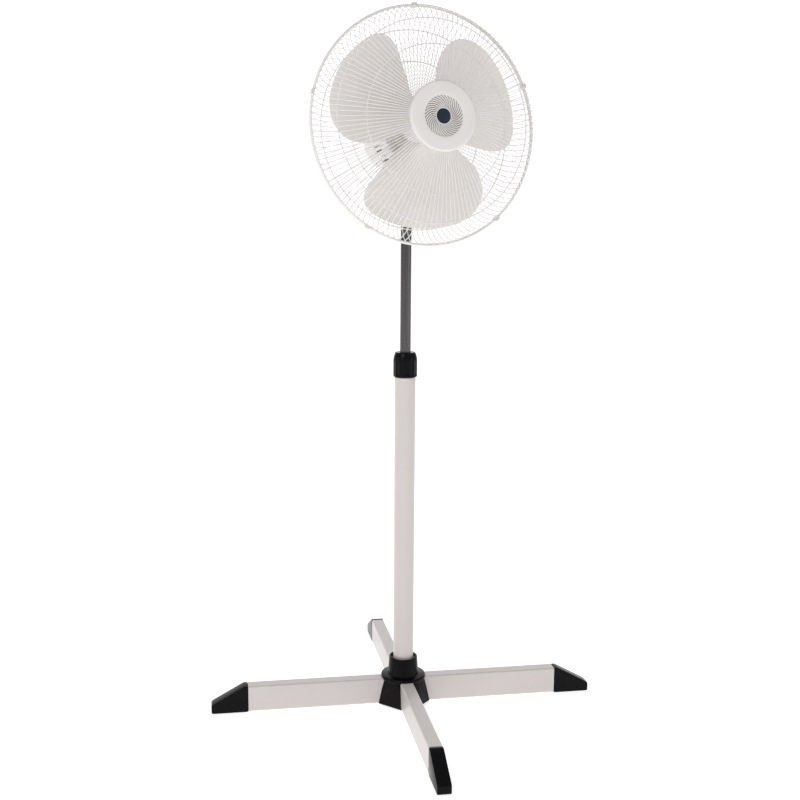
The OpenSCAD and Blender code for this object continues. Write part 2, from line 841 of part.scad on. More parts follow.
module rear_cover() {
  slots = 36;
  slot_len = 34;
  slot_w = 2.8;
  back_slot = [44, 2.4, motor_wall + 4];
  back_pitch = 6;
  inner_r = motor_r - motor_wall;
  color(body_white) fan_axis() difference() {
    rotate_extrude($fn = 96) shell_outline(motor_r, seam_d - gap, rear_end, rear_round);
    rotate_extrude($fn = 96)
      shell_outline(inner_r, seam_d + 1, rear_end + motor_wall, rear_round - motor_wall);
    // Side slots, except under the motor
    for (i = [0:slots - 1]) if (abs(i - slots * 0.75) > 3.5) rotate([0, 0, i * 360 / slots])
      translate([motor_r - 6, -slot_w / 2, seam_d - 6 - slot_len]) cube([10, slot_w, slot_len]);
    // Slots across the back
    for (k = [-4:4]) translate([-back_slot[0] / 2, k * back_pitch - back_slot[1] / 2, rear_end - 2])
      cube(back_slot);
    // Holes for the swivel boss, the crank shaft and the knob
    translate([0, 0, post_d]) rotate([90, 0, 0]) cylinder(h = motor_r + 5, r = 16);
    translate([crank_x, 0, crank_d]) rotate([90, 0, 0]) cylinder(h = motor_r + 5, r = 5);
    translate([wheel_x, 0, wheel_d]) rotate([-90, 0, 0]) cylinder(h = motor_r + 5, r = 3.6);
    for (s = [-1, 1]) translate([s * screw_x, 0, rear_end - 5]) cylinder(h = 20, r = screw_r + gap);
  }
}

module cover_screws() {
  color(bare_steel) fan_axis() for (s = [-1, 1])
    translate([s * screw_x, 0, rear_end + screw_len]) rotate([180, 0, 0])
      screw(screw_r, screw_head_r, screw_head_h, screw_len);
}

module front_end_shield() {
  color(bare_steel) fan_axis() difference() {
    union() {
      translate([0, 0, shield_d - 5]) cylinder(h = 5, r = core_r);
      translate([0, 0, shield_d - 5]) cylinder(h = 12, r = bearing_r + 3.5);
      translate([0, 0, post_d + core_half])
        ring(core_r, core_r - rim_wall, shield_d - 4 - post_d - core_half);
    }
    translate([0, 0, shield_d - 6]) cylinder(h = 20, r = bearing_r + fit);
    for (i = [0:5]) rotate([0, 0, i * 60]) translate([24, 0, shield_d - 6]) cylinder(h = 8, r = 6);
    bolt_holes();
  }
}

module bolt_holes() {
  for (a = [45:90:315]) rotate([0, 0, a]) translate([bolt_ring, 0, case_d - 20])
    cylinder(h = shield_d - case_d + 30, r = motor_bolt_r + fit, $fn = 24);
}

module gear_case() {
  arm_low = -motor_r + motor_wall + 2.2;
  arm_w = 22;
  boss_r = 14;
  box = [case_x[1] - case_x[0], case_y[1] - case_y[0], case_d - case_back - 1];
  color(bare_steel) fan_axis() difference() {
    union() {
      translate([0, 0, case_d - 4]) cylinder(h = 4, r = core_r);
      translate([0, 0, case_d - 1]) ring(core_r, core_r - rim_wall, post_d - core_half - case_d + 1);
      translate([case_x[0], case_y[0], case_back]) cube(box);
      // Swivel boss under the stator and the arm that carries it
      translate([0, boss_high, post_d]) rotate([90, 0, 0]) cylinder(h = boss_high - boss_low, r = boss_r);
      translate([-arm_w / 2, arm_low, case_d - 4])
        cube([arm_w, boss_high - 0.2 - arm_low, post_d - case_d + 4]);
      translate([-arm_w / 2, arm_low, case_d - 4]) cube([arm_w, -arm_low - core_r + 8, 4]);
      for (s = [-1, 1]) translate([s * screw_x, 0, rear_end + 6]) cylinder(h = case_d - rear_end - 8, r = 4);
    }
    // Inside of the gear box, open at the back
    translate([case_x[0] + case_wall, case_y[0] + case_wall, case_back - 1])
      cube([box[0] - 2 * case_wall, box[1] - 2 * case_wall, box[2] - 4]);
    translate([0, 0, case_d - 12]) cylinder(h = 20, r = bearing_r + fit);
    translate([0, 0, post_d]) rotate([90, 0, 0]) cylinder(h = head_rise, r = post_r + run_fit);
    translate([wheel_x, 0, wheel_d]) rotate([-90, 0, 0]) cylinder(h = 30, r = gear_shaft_r + run_fit);
    translate([crank_x, 0, crank_d]) rotate([90, 0, 0]) cylinder(h = 40, r = gear_shaft_r + run_fit);
    for (s = [-1, 1]) translate([s * screw_x, 0, rear_end]) cylinder(h = 20, r = screw_r + fit);
    bolt_holes();
  }
}

module stator_core() {
  slots = 16;
  color(bare_steel) fan_axis() translate([0, 0, post_d - core_half]) difference() {
    cylinder(h = 2 * core_half, r = core_r - gap);
    translate([0, 0, -1]) cylinder(h = 2 * core_half + 2, r = core_bore);
    for (i = [0:slots - 1]) rotate([0, 0, i * 360 / slots]) {
      translate([core_bore + 4.5, 0, -1]) cylinder(h = 2 * core_half + 2, r = 2.4, $fn = 24);
      translate([core_bore - 1, -0.8, -1]) cube([5, 1.6, 2 * core_half + 2]);
    }
    for (a = [45:90:315]) rotate([0, 0, a]) translate([bolt_ring, 0, -1])
      cylinder(h = 2 * core_half + 2, r = motor_bolt_r + fit, $fn = 24);
  }
}

module stator_windings() {
  inner = core_bore + 2;
  outer = core_r - 9;
  color(copper) fan_axis() for (d = [post_d + core_half + 0.2, post_d - core_half - coil_len - 0.2])
    translate([0, 0, d]) rotate_extrude() union() {
      translate([inner, 3]) square([outer - inner, coil_len - 6]);
      translate([inner + 3, 0]) square([outer - inner - 6, coil_len]);
      for (x = [inner + 3, outer - 3], y = [3, coil_len - 3]) translate([x, y]) circle(3, $fn = 24);
    }
}

module bush(d) {
  color(bronze) fan_axis() translate([0, 0, d]) ring(bearing_r, shaft_r + run_fit, bearing_len);
}

module front_bearing() {
  bush(shield_d - 3.5);
}

module rear_bearing() {
  bush(case_d - bearing_len);
}

module motor_bolts() {
  length = shield_d - case_d + 4;
  color(bare_steel) fan_axis() for (a = [45:90:315]) rotate([0, 0, a])
    translate([bolt_ring, 0, case_d - 3.8]) {
      cylinder(h = length, r = motor_bolt_r, $fn = 24);
      translate([0, 0, length]) hex(3 * motor_bolt_r, 3);
    }
}

module swing_knob() {
  top = motor_r + 3;
  neck_r = 6;
  cap_r = 7.5;
  knob_h = 14.5;
  grooves = 12;
  color(gloss_black) upright(wheel_x, wheel_d) {
    // Stops 0.4 mm above the worm wheel's stub when the knob is pressed right down
    translate([0, 0, 10.4]) cylinder(h = top - 9.4, r = gear_shaft_r);
    translate([0, 0, top]) difference() {
      rotate_extrude()
        polygon([[0, 0], [neck_r, 0], [neck_r, 8], [cap_r, 10], [cap_r, 13], [neck_r, knob_h], [0, knob_h]]);
      for (i = [0:grooves - 1]) rotate([0, 0, i * 360 / grooves]) translate([neck_r + 0.6, 0, -1])
        cylinder(h = 9, r = 1, $fn = 16);
    }
  }
}

// ---------- rotor ----------

module rotor_core() {
  color(bare_steel) fan_axis() translate([0, 0, post_d - core_half]) difference() {
    cylinder(h = 2 * core_half, r = rotor_r);
    translate([0, 0, -1]) cylinder(h = 2 * core_half + 2, r = shaft_r + fit);
    for (s = [0, 1]) translate([0, 0, s * (2 * core_half - 3)]) difference() {
      translate([0, 0, -s]) cylinder(h = 4, r = rotor_r - 5);
      translate([0, 0, -2]) cylinder(h = 8, r = shaft_r + 4);
    }
  }
}

module rotor_shaft() {
  front = hub_front + 15;
  color(bare_steel) fan_axis() difference() {
    union() {
      translate([0, 0, case_d - 10]) cylinder(h = front - case_d + 10, r = shaft_r);
      translate([0, 0, case_d - 27]) cylinder(h = 20, r = worm_bore_r);
    }
    translate([-pin_half, 0, pin_d]) rotate([0, 90, 0]) cylinder(h = 2 * pin_half, r = pin_r + fit, $fn = 24);
  }
}

module shaft_pin() {
  color(bare_steel) fan_axis() translate([-pin_half, 0, pin_d]) rotate([0, 90, 0])
    cylinder(h = 2 * pin_half, r = pin_r, $fn = 24);
}

// Radius of the worm's section at an angle from its crest
function worm_r(a) =
  let (s = min(a, 360 - a) / 360 * worm_pitch, crest = 0.12 * worm_pitch, root = 0.27 * worm_pitch)
  s < crest ? worm_pitch_r + 0.8 * gear_m
  : s > root ? worm_pitch_r - 1.2 * gear_m
  : worm_pitch_r + gear_m * (0.8 - 2 * (s - crest) / (root - crest));

module worm() {
  sides = 16;
  color(gun_metal) fan_axis() translate([0, 0, wheel_d - worm_len / 2]) difference() {
    linear_extrude(worm_len, twist = -360 * worm_len / worm_pitch, $fn = sides,
      slices = round(sides * worm_len / worm_pitch))
      rotate([0, 0, -360 * worm_len / 2 / worm_pitch])
        polygon([for (i = [0:sides - 1]) let (a = i * 360 / sides) worm_r(a) * [cos(a), sin(a)]]);
    translate([0, 0, -1]) cylinder(h = worm_len + 2, r = worm_bore_r + fit);
  }
}

module worm_wheel() {
  color(nylon) upright(wheel_x, wheel_d) {
    translate([0, 0, -2]) rotate([0, 0, 180 + 180 / wheel_teeth]) gear(wheel_teeth, gear_m, 4);
    translate([0, 0, pinion_y - 3.5]) rotate([0, 0, -gear_angle]) gear(pinion_teeth, gear_m, 12);
    translate([0, 0, pinion_y - 8]) cylinder(h = 16 - pinion_y, r = 1.6, $fn = 32);
  }
}

module crank_gear() {
  stub = 1.2;
  disc_t = 2.5;
  disc_low = link_low + link_t + 0.4 + stub;
  // Where the crank pin stands over the link's eye, turned from the bracket's view into the head's
  reach = eye_at - crank_at;
  eye = [reach * [cos(swing_rest), sin(swing_rest)], reach * [-sin(swing_rest), cos(swing_rest)]];
  color(nylon) upright(crank_x, crank_d) {
    translate([0, 0, pinion_y - 2.5]) rotate([0, 0, 180 - gear_angle + 180 / crank_teeth])
      gear(crank_teeth, gear_m, 5);
    translate([0, 0, disc_low]) cylinder(h = pinion_y - disc_low, r = gear_shaft_r);
    translate([0, 0, disc_low]) cylinder(h = disc_t, r = crank_throw + 3.5);
    translate([eye[0], eye[1], disc_low - stub]) cylinder(h = stub + 1, r = link_pin_r, $fn = 32);
  }
}

// ---------- blade ----------

// Each long edge of a blade is an angle that follows the radius, and the corners at the tip are rounded
function blade_radius(u) = hub_r - 2 + (blade_r - hub_r + 2) * u;
function corner(u, from) = 1 - sqrt(1 - pow(max(0, (u - from) / (1 - from)), 2));
function rear_edge(u) = blade_start + 4 * sin(90 * u) + 12.5 * corner(u, 0.7);
function front_edge(u) =
  blade_start + blade_span * (1 - 0.15 * pow(max(0, 2 * u - 1), 1.35)) - 16 * corner(u, 0.77);
function blade_z(a) = blade_rear + blade_depth * (a - blade_start) / blade_span;

function blade_point(i, j, face) =
  let (u = i / blade_steps, r = blade_radius(u), v = j / chord_steps,
       a = rear_edge(u) + (front_edge(u) - rear_edge(u)) * v,
       t = blade_t * (0.35 + 0.65 * sqrt(sin(v * 180))) * (1 - 0.35 * u))
  [r * cos(a), r * sin(a), blade_z(a) + face * t / 2];

module blade() {
  n = chord_steps + 1;
  rows = blade_steps + 1;
  points = [for (face = [-1, 1], i = [0:blade_steps], j = [0:chord_steps]) blade_point(i, j, face)];
  function at(f, i, j) = f * rows * n + i * n + j;
  // Two triangles of a four-sided patch, which share one diagonal on both sides of the blade
  function split(q, flip) =
    flip ? [[q[2], q[1], q[0]], [q[3], q[2], q[0]]] : [[q[0], q[1], q[2]], [q[0], q[2], q[3]]];
  skin = [for (f = [0, 1], i = [0:blade_steps - 1], j = [0:chord_steps - 1])
    each split([at(f, i, j), at(f, i, j + 1), at(f, i + 1, j + 1), at(f, i + 1, j)], f == 0)];
  ends = [for (s = [0, 1], j = [0:chord_steps - 1]) let (i = s * blade_steps)
    each split([at(0, i, j), at(1, i, j), at(1, i, j + 1), at(0, i, j + 1)], s == 0)];
  edges = [for (s = [0, 1], i = [0:blade_steps - 1]) let (j = s * chord_steps)
    each split([at(0, i, j), at(0, i + 1, j), at(1, i + 1, j), at(1, i, j)], s == 0)];
  polyhedron(points, concat(skin, ends, edges), convexity = 6);
}

module fan_blade() {
  hub_h = hub_front - hub_back;
  color(shade_white) fan_axis() {
    for (k = [0:2]) rotate([0, 0, k * 120]) blade();
    difference() {
      translate([0, 0, hub_back]) cylinder(h = hub_h, r = hub_r);
      translate([0, 0, hub_back - 1]) difference() {
        cylinder(h = hub_h + 1 - hub_wall, r = hub_r - hub_wall);
        translate([0, 0, -1]) cylinder(h = hub_h + 2, r = shaft_r + 5);
      }
      translate([0, 0, hub_back - 1]) cylinder(h = hub_h + 2, r = shaft_r + fit);
      // Slot for the cross pin
      translate([-pin_half - 0.5, -pin_r - 0.1, hub_back - 1]) cube([2 * pin_half + 1, 2 * pin_r + 0.2, 5]);
    }
  }
}

module blade_nut() {
  color(shade_white) fan_axis() translate([0, 0, hub_front + 0.2]) difference() {
    union() {
      cylinder(h = 3, r = 17);
      translate([0, 0, 2]) cylinder(h = 20, r1 = 14, r2 = 11);
    }
    translate([0, 0, -1]) cylinder(h = 19.5, r = shaft_r + fit);
    for (i = [0:7]) rotate([0, 0, i * 45]) translate([14, 0, 3]) cylinder(h = 30, r = 2.2, $fn = 24);
  }
}

// ---------- guards ----------

module spoke(depth, slope) {
  s = shoulder(depth, slope);
  cx = wire_end - s;
  tangent = [cx + s * sin(slope), rim_z + s * cos(slope)];
  translate([cx, 0, rim_z]) rotate([90, 0, 0]) rotate_extrude(angle = 90 - slope) translate([s, 0])
    circle(d = wire_d, $fn = 16);
  translate([tangent[0], 0, tangent[1]]) rotate([0, slope - 90, 0]) translate([0, 0, -0.5])
    cylinder(h = (tangent[0] - spoke_start) / cos(slope) + 0.5, d = wire_d - 0.04, $fn = 16);
}

// Radius and depth of a stiffening ring that lies against the inside of the spokes
function ring_place(depth, slope, r) =
  let (s = shoulder(depth, slope), cx = wire_end - s, in = (wire_d + ring_d) / 2 + fit,
       a = max(slope, asin(min(1, max(-1, (r - cx) / s)))))
  r > cx + s * sin(slope) ? [cx + (s - in) * sin(a), rim_z + (s - in) * cos(a)]
  : [r - in * sin(slope), depth - tan(slope) * (r - spoke_in) - in * cos(slope)];

module guard_wires(depth, slope) {
  for (i = [0:wire_count - 1]) rotate([0, 0, i * 360 / wire_count]) spoke(depth, slope);
}

module guard_rings(depth, slope, radii) {
  translate([0, 0, rim_z]) torus(rim_r, rim_d);
  for (r = radii) let (p = ring_place(depth, slope, r)) translate([0, 0, p[1]]) torus(p[0], ring_d);
}

module front_guard_wires() {
  color(body_white) fan_axis() guard_wires(front_depth, front_slope);
}

module front_guard_rings() {
  color(body_white) fan_axis() guard_rings(front_depth, front_slope, front_ring_radii);
}

module rear_guard_wires() {
  color(body_white) fan_axis() mirror([0, 0, 1]) guard_wires(rear_depth, rear_slope);
}

module rear_guard_rings() {
  color(body_white) fan_axis() {
    mirror([0, 0, 1]) guard_rings(rear_depth, rear_slope, rear_ring_radii);
    translate([0, 0, -plate_d - guard_plate_t]) ring(plate_out, plate_in, guard_plate_t);
  }
}

module guard_nut() {
  low = -rear_depth - wire_d / 2;
  flange_h = 3;
  nut_h = 9.5;
  grip_r = plate_in + 6;
  color(shade_white) fan_axis() translate([0, 0, low]) difference() {
    union() {
      cylinder(h = flange_h, r = spoke_start - 1.5);
      cylinder(h = nut_h, r = grip_r);
    }
    translate([0, 0, -1]) cylinder(h = nut_h + 2, r = plate_in);
    // Finger grooves, and round holes in the flange
    for (i = [0:11]) rotate([0, 0, i * 30]) translate([grip_r + 0.8, 0, flange_h + 0.2])
      cylinder(h = nut_h, r = 2, $fn = 24);
    for (i = [0:5]) rotate([0, 0, i * 60 + 15]) translate([grip_r + 8, 0, -1]) cylinder(h = 5, r = 4);
  }
}

// A fin sweeps round as it runs out from the middle
function fin_line(side) = [
  for (k = [0:fin_steps])
    let (u = side > 0 ? k / fin_steps : 1 - k / fin_steps,
         r = fin_in + (recess_r - fin_in) * u,
         a = fin_sweep * pow(u, 1.4))
    [r * cos(a), r * sin(a)] + side * fin_t * (0.425 + 0.375 * u) * [-sin(a + 35 * u), cos(a + 35 * u)]
];

module front_disc() {
  face = front_depth + 6.5;
  back = front_depth - 6;
  floor_d = face - 7;
  wall = 2.6;
  notch_top = front_depth + wire_d / 2 + 2;
  color(body_white) fan_axis() {
    difference() {
      rotate_extrude($fn = 120) polygon([
        [0, floor_d - 2], [recess_r + 1, floor_d - 2], [recess_r + 2, face - 2.2],
        [disc_r - wall, face - 2.2], [disc_r - wall, back], [disc_r, back], [disc_r, face - wall], [disc_r - 1, face - 1.2],
        [disc_r - 3.5, face - 0.3], [recess_r + 6, face], [recess_r + 1, face],
        [recess_r, face - 1], [recess_r, floor_d], [0, floor_d]]);
      // Notches in the wall for the spokes
      for (i = [0:wire_count - 1]) rotate([0, 0, i * 360 / wire_count])
        translate([disc_r - 6, -wire_d / 2 - 0.2, back - 3]) cube([10, wire_d + 0.4, notch_top - back + 3]);
    }
    for (i = [0:fin_count - 1]) rotate([0, 0, i * 360 / fin_count])
      translate([0, 0, floor_d - 0.5]) linear_extrude(6.2) polygon(concat(fin_line(-1), fin_line(1)));
    translate([0, 0, floor_d - 0.5]) ring(badge_r + 1.3, badge_r + 0.2, 6);
  }
}

module badge() {
  floor_d = front_depth - 0.5;
  color(badge_navy) fan_axis() translate([0, 0, floor_d + 0.05])
    rotate_extrude() polygon([[0, 0], [badge_r, 0], [badge_r, 4], [badge_r - 0.8, 4.8], [0, 5]]);
}

// ---------- rim clips ----------

module rim_clip(place) {
  // Profile across the rims, about the middle of the rear rim wire, which the clip turns on
  hook_z = 2 * rim_z + rim_d / 2 + 0.4;
  inner = rim_d / 2 + 0.2;
  color(shade_white) fan_axis() rotate([0, 0, 22.5 + 72 * place]) translate([rim_r, clip_w / 2, -rim_z])
    rotate([90, 0, 0]) linear_extrude(clip_w) {
      difference() {
        circle(inner + clip_thick, $fn = 40);
        circle(inner, $fn = 40);
        polygon([[0, 0], [20, 20 * tan(30)], [20, 40], [-40, 40], [-40, 40 * tan(-40)]]);
      }
      translate([inner, 0]) square([clip_thick, hook_z + clip_thick]);
      translate([-inner + 0.8, hook_z]) square([2 * inner + clip_thick - 0.8, clip_thick]);
    }
}

module rim_clip_a() {
  rim_clip(0);
}

module rim_clip_b() {
  rim_clip(1);
}

module rim_clip_c() {
  rim_clip(2);
}

module rim_clip_d() {
  rim_clip(3);
}

module rim_clip_e() {
  rim_clip(4);
}

leg_tube_side();
leg_tube_front();
foot_cap_left();
foot_cap_right();
foot_cap_front();
foot_cap_back();
base_cover();
pole_socket();
base_bolt();
base_nut();
lower_pole();
pole_collet();
collar_nut();
upper_pole();
pole_guide();
control_housing();
control_back();
housing_screws();
switch_block();
cord_gland();
tilt_bolt();
tilt_nut();
button_off();
button_low();
button_medium();
button_high();
tilt_bracket();
swivel_clip();
crank_link();
front_cover();
rear_cover();
cover_screws();
front_end_shield();
gear_case();
stator_core();
stator_windings();
front_bearing();
rear_bearing();
motor_bolts();
rear_guard_wires();
rear_guard_rings();
guard_nut();
front_guard_wires();
front_guard_rings();
front_disc();
badge();
swing_knob();
rotor_core();
rotor_shaft();
shaft_pin();
worm();
fan_blade();
blade_nut();
worm_wheel();
crank_gear();
rim_clip_a();
rim_clip_b();
rim_clip_c();
rim_clip_d();
rim_clip_e();
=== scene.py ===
"""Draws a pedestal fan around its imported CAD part: smooth skins, guard wires, blades, materials and a stage."""

import json
import math

import bmesh
import bpy
from mathutils import Matrix, Vector


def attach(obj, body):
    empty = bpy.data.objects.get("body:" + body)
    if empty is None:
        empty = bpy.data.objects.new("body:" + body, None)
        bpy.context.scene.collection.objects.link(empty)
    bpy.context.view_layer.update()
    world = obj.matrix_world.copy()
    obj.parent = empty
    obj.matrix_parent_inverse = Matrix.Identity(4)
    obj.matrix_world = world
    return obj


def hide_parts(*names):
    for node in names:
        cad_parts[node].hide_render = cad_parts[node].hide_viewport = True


bl_info = {
    "name": "Pedestal fan",
    "version": (1, 0, 0),
    "blender": (4, 5, 0),
    "location": "3D View > Sidebar > Fan",
    "description": "Builds the looks of a pedestal fan around its CAD part",
    "category": "Object",
}

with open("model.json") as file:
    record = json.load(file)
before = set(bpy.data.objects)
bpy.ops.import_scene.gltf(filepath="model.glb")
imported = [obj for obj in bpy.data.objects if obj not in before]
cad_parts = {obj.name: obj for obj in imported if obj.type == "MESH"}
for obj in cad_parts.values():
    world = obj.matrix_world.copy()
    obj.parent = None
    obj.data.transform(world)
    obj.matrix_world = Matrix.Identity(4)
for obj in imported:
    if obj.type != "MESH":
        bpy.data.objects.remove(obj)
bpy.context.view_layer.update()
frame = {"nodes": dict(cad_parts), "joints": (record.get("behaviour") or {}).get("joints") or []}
MM = 0.001


# ---------- settings ----------


def length(name, default, description):
    """A length setting in metres."""
    return bpy.props.FloatProperty(
        name=name, description=description, default=default, min=0.0, unit="LENGTH", subtype="DISTANCE", precision=5
    )


def colour(name, default, description):
    """A linear colour setting."""
    return bpy.props.FloatVectorProperty(
        name=name, description=description, default=default, size=3, min=0.0, max=1.0, subtype="COLOR"
    )


class FanSizes(bpy.types.PropertyGroup):
    """Sizes of the pieces, the same as the CAD part's."""

    leg_reach: length("Leg reach", 0.300, "Distance from the centre to the end of a leg tube")
    leg_w: length("Leg width", 0.025, "Width of a leg tube")
    leg_top: length("Leg top", 0.051, "Height of the top of a leg tube")
    cap_reach: length("Cap reach", 0.070, "Length of a foot cap past its tube")
    cap_flat: length("Cap flat", 0.008, "Length of the flat top of a foot cap")
    cap_tip: length("Cap tip", 0.017, "Height of the tip of a foot cap")
    flange_r: length("Flange radius", 0.0425, "Radius of the base cover's flange ring")
    flange_z: length("Flange height", 0.047, "Underside of the base cover's flange ring")
    cover_top: length("Cover top", 0.0915, "Top of the base cover's collar")
    cover_skirt: length("Skirt reach", 0.050, "Reach of the base cover's skirt along the legs")
    pole_r: length("Pole radius", 0.0192, "Outer radius of the lower pole")
    pole_foot: length("Pole foot", 0.0543, "Foot of the lower pole")
    pole_top: length("Pole top", 0.628, "Top of the lower pole")
    collar_r: length("Collar radius", 0.0223, "Radius of the collar nut")
    collar_z: length("Collar foot", 0.636, "Underside of the collar nut")
    collar_h: length("Collar height", 0.046, "Height of the collar nut")
    collar_flutes: bpy.props.IntProperty(name="Flutes", description="Flutes on the collar nut", default=14, min=3)
    guard_r: length("Guard radius", 0.207, "Outer radius of the guards")
    wire_count: bpy.props.IntProperty(name="Spokes", description="Spokes in each guard", default=120, min=3)
    wire_d: length("Spoke thickness", 0.0015, "Thickness of a spoke")
    ring_d: length("Ring thickness", 0.002, "Thickness of a stiffening ring")
    rim_d: length("Rim thickness", 0.004, "Thickness of a rim wire")
    front_depth: length("Front depth", 0.080, "Depth of the front guard at the middle disc")
    rear_depth: length("Rear depth", 0.0394, "Depth of the rear guard at the motor")
    disc_r: length("Disc radius", 0.0585, "Radius of the middle disc")
    recess_r: length("Recess radius", 0.034, "Radius of the recess in the middle disc")
    badge_r: length("Badge radius", 0.0127, "Radius of the badge")
    fin_count: bpy.props.IntProperty(name="Fins", description="Curved fins in the recess", default=36, min=3)
    blade_r: length("Blade radius", 0.177, "Radius at the tips of the blades")
    hub_r: length("Hub radius", 0.030, "Radius of the blade hub")
    blade_depth: length("Blade depth", 0.0455, "Depth from a blade's rear edge to its front edge")
    blade_t: length("Blade thickness", 0.0022, "Thickness of a blade")


class FanColours(bpy.types.PropertyGroup):
    """Colours of the materials."""

    paint: colour("Paint", (0.66, 0.612, 0.595), "Legs and lower pole")
    black: colour("Black", (0.004, 0.004, 0.005), "Caps, base cover and collar nut")
    metal: colour("Gun metal", (0.105, 0.100, 0.100), "Upper pole")
    white: colour("White plastic", (0.80, 0.775, 0.75), "Housings and middle disc")
    shade: colour("Off-white plastic", (0.72, 0.69, 0.65), "Small plastic pieces")
    blade: colour("Blade", (0.84, 0.80, 0.775), "Fan blade")
    wire: colour("Wire", (0.82, 0.80, 0.785), "Guard wires")
    badge: colour("Badge", (0.013, 0.024, 0.038), "Badge and off button")
    zinc: colour("Zinc", (0.58, 0.58, 0.59), "Screws, shaft and small steel pieces")
    alloy: colour("Cast alloy", (0.30, 0.30, 0.31), "Motor castings")
    iron: colour("Laminations", (0.12, 0.115, 0.115), "Motor laminations")
    copper: colour("Windings", (0.42, 0.17, 0.06), "Motor windings")
    bronze: colour("Bronze", (0.50, 0.36, 0.16), "Bearing bushes")
    nylon: colour("Gear plastic", (0.78, 0.73, 0.56), "Plastic gears")
    floor: colour("Floor", (0.92, 0.92, 0.92), "Floor and backdrop")


class FanStage(bpy.types.PropertyGroup):
    """Camera and lights."""

    eye: bpy.props.FloatVectorProperty(
        name="Camera place", description="Where the camera stands", default=(-0.3936, -2.0657, 0.956), size=3,
        unit="LENGTH", subtype="TRANSLATION",
    )
    turn: bpy.props.FloatProperty(
        name="Camera turn", description="Turn of the camera about Z", default=math.radians(-8.41), subtype="ANGLE"
    )
    pitch: bpy.props.FloatProperty(
        name="Camera pitch", description="How far the camera looks down", default=math.radians(9.83), subtype="ANGLE"
    )
    lens: bpy.props.FloatProperty(name="Lens", description="Focal length in millimetres", default=51.6, min=10.0)
    shift: bpy.props.FloatProperty(name="Shift", description="Sideways shift of the lens", default=0.0524)
    key: bpy.props.FloatProperty(name="Key light", description="Power of the key light in watts", default=22.0)
    fill: bpy.props.FloatProperty(name="Fill light", description="Power of the fill light in watts", default=5.0)
    backdrop: bpy.props.FloatProperty(name="Backdrop", description="Glow of the floor and backdrop", default=0.62)
    sky: bpy.props.FloatProperty(name="Sky", description="Strength of the white surroundings", default=0.43)


# ---------- materials ----------


def new_tree(name):
    """A material with an empty node tree, its output and a Principled shader."""
    material = bpy.data.materials.new(name)
    material.use_nodes = True
    tree = material.node_tree
    tree.nodes.clear()
    out = tree.nodes.new("ShaderNodeOutputMaterial")
    shader = tree.nodes.new("ShaderNodeBsdfPrincipled")
    tree.links.new(shader.outputs["BSDF"], out.inputs["Surface"])
    return material, tree, shader


def finish_material(name, base, rough, metallic=0.0, coat=0.0, spread=0.05, scale=35.0, grain=900.0, bump=0.03,
                    stretch=(1.0, 1.0, 1.0), translucent=0.0, specular=0.5):
    """A surface whose colour and gloss drift a little over the object, with a fine grain in its relief."""
    material, tree, shader = new_tree(name)
    nodes, link = tree.nodes, tree.links.new
    place = nodes.new("ShaderNodeTexCoord")
    mapping = nodes.new("ShaderNodeMapping")
    mapping.inputs["Scale"].default_value = stretch
    link(place.outputs["Object"], mapping.inputs["Vector"])
    drift = nodes.new("ShaderNodeTexNoise")
    drift.inputs["Scale"].default_value = scale
    drift.inputs["Detail"].default_value = 4.0
    link(mapping.outputs["Vector"], drift.inputs["Vector"])
    ramp = nodes.new("ShaderNodeValToRGB")
    ramp.color_ramp.elements[0].position = 0.3
    ramp.color_ramp.elements[1].position = 0.7
    ramp.color_ramp.elements[0].color = [c * (1 - spread) for c in base] + [1]
    ramp.color_ramp.elements[1].color = [min(1, c * (1 + spread)) for c in base] + [1]
    link(drift.outputs["Fac"], ramp.inputs["Fac"])
    link(ramp.outputs["Color"], shader.inputs["Base Color"])
    gloss = nodes.new("ShaderNodeMapRange")
    gloss.inputs["To Min"].default_value = max(0.02, rough * 0.85)
    gloss.inputs["To Max"].default_value = min(1.0, rough * 1.15)
    link(drift.outputs["Fac"], gloss.inputs["Value"])
    link(gloss.outputs["Result"], shader.inputs["Roughness"])
    fine = nodes.new("ShaderNodeTexNoise")
    fine.inputs["Scale"].default_value = grain
    link(mapping.outputs["Vector"], fine.inputs["Vector"])
    relief = nodes.new("ShaderNodeBump")
    relief.inputs["Strength"].default_value = bump
    relief.inputs["Distance"].default_value = 0.0005
    link(fine.outputs["Fac"], relief.inputs["Height"])
    link(relief.outputs["Normal"], shader.inputs["Normal"])
    shader.inputs["Metallic"].default_value = metallic
    shader.inputs["Specular IOR Level"].default_value = specular
    shader.inputs["Coat Weight"].default_value = coat
    shader.inputs["Coat Roughness"].default_value = 0.08
    if translucent:
        shader.inputs["Subsurface Weight"].default_value = translucent
        shader.inputs["Subsurface Radius"].default_value = (0.004, 0.0035, 0.003)
        shader.inputs["Subsurface Scale"].default_value = 1.0
    return material


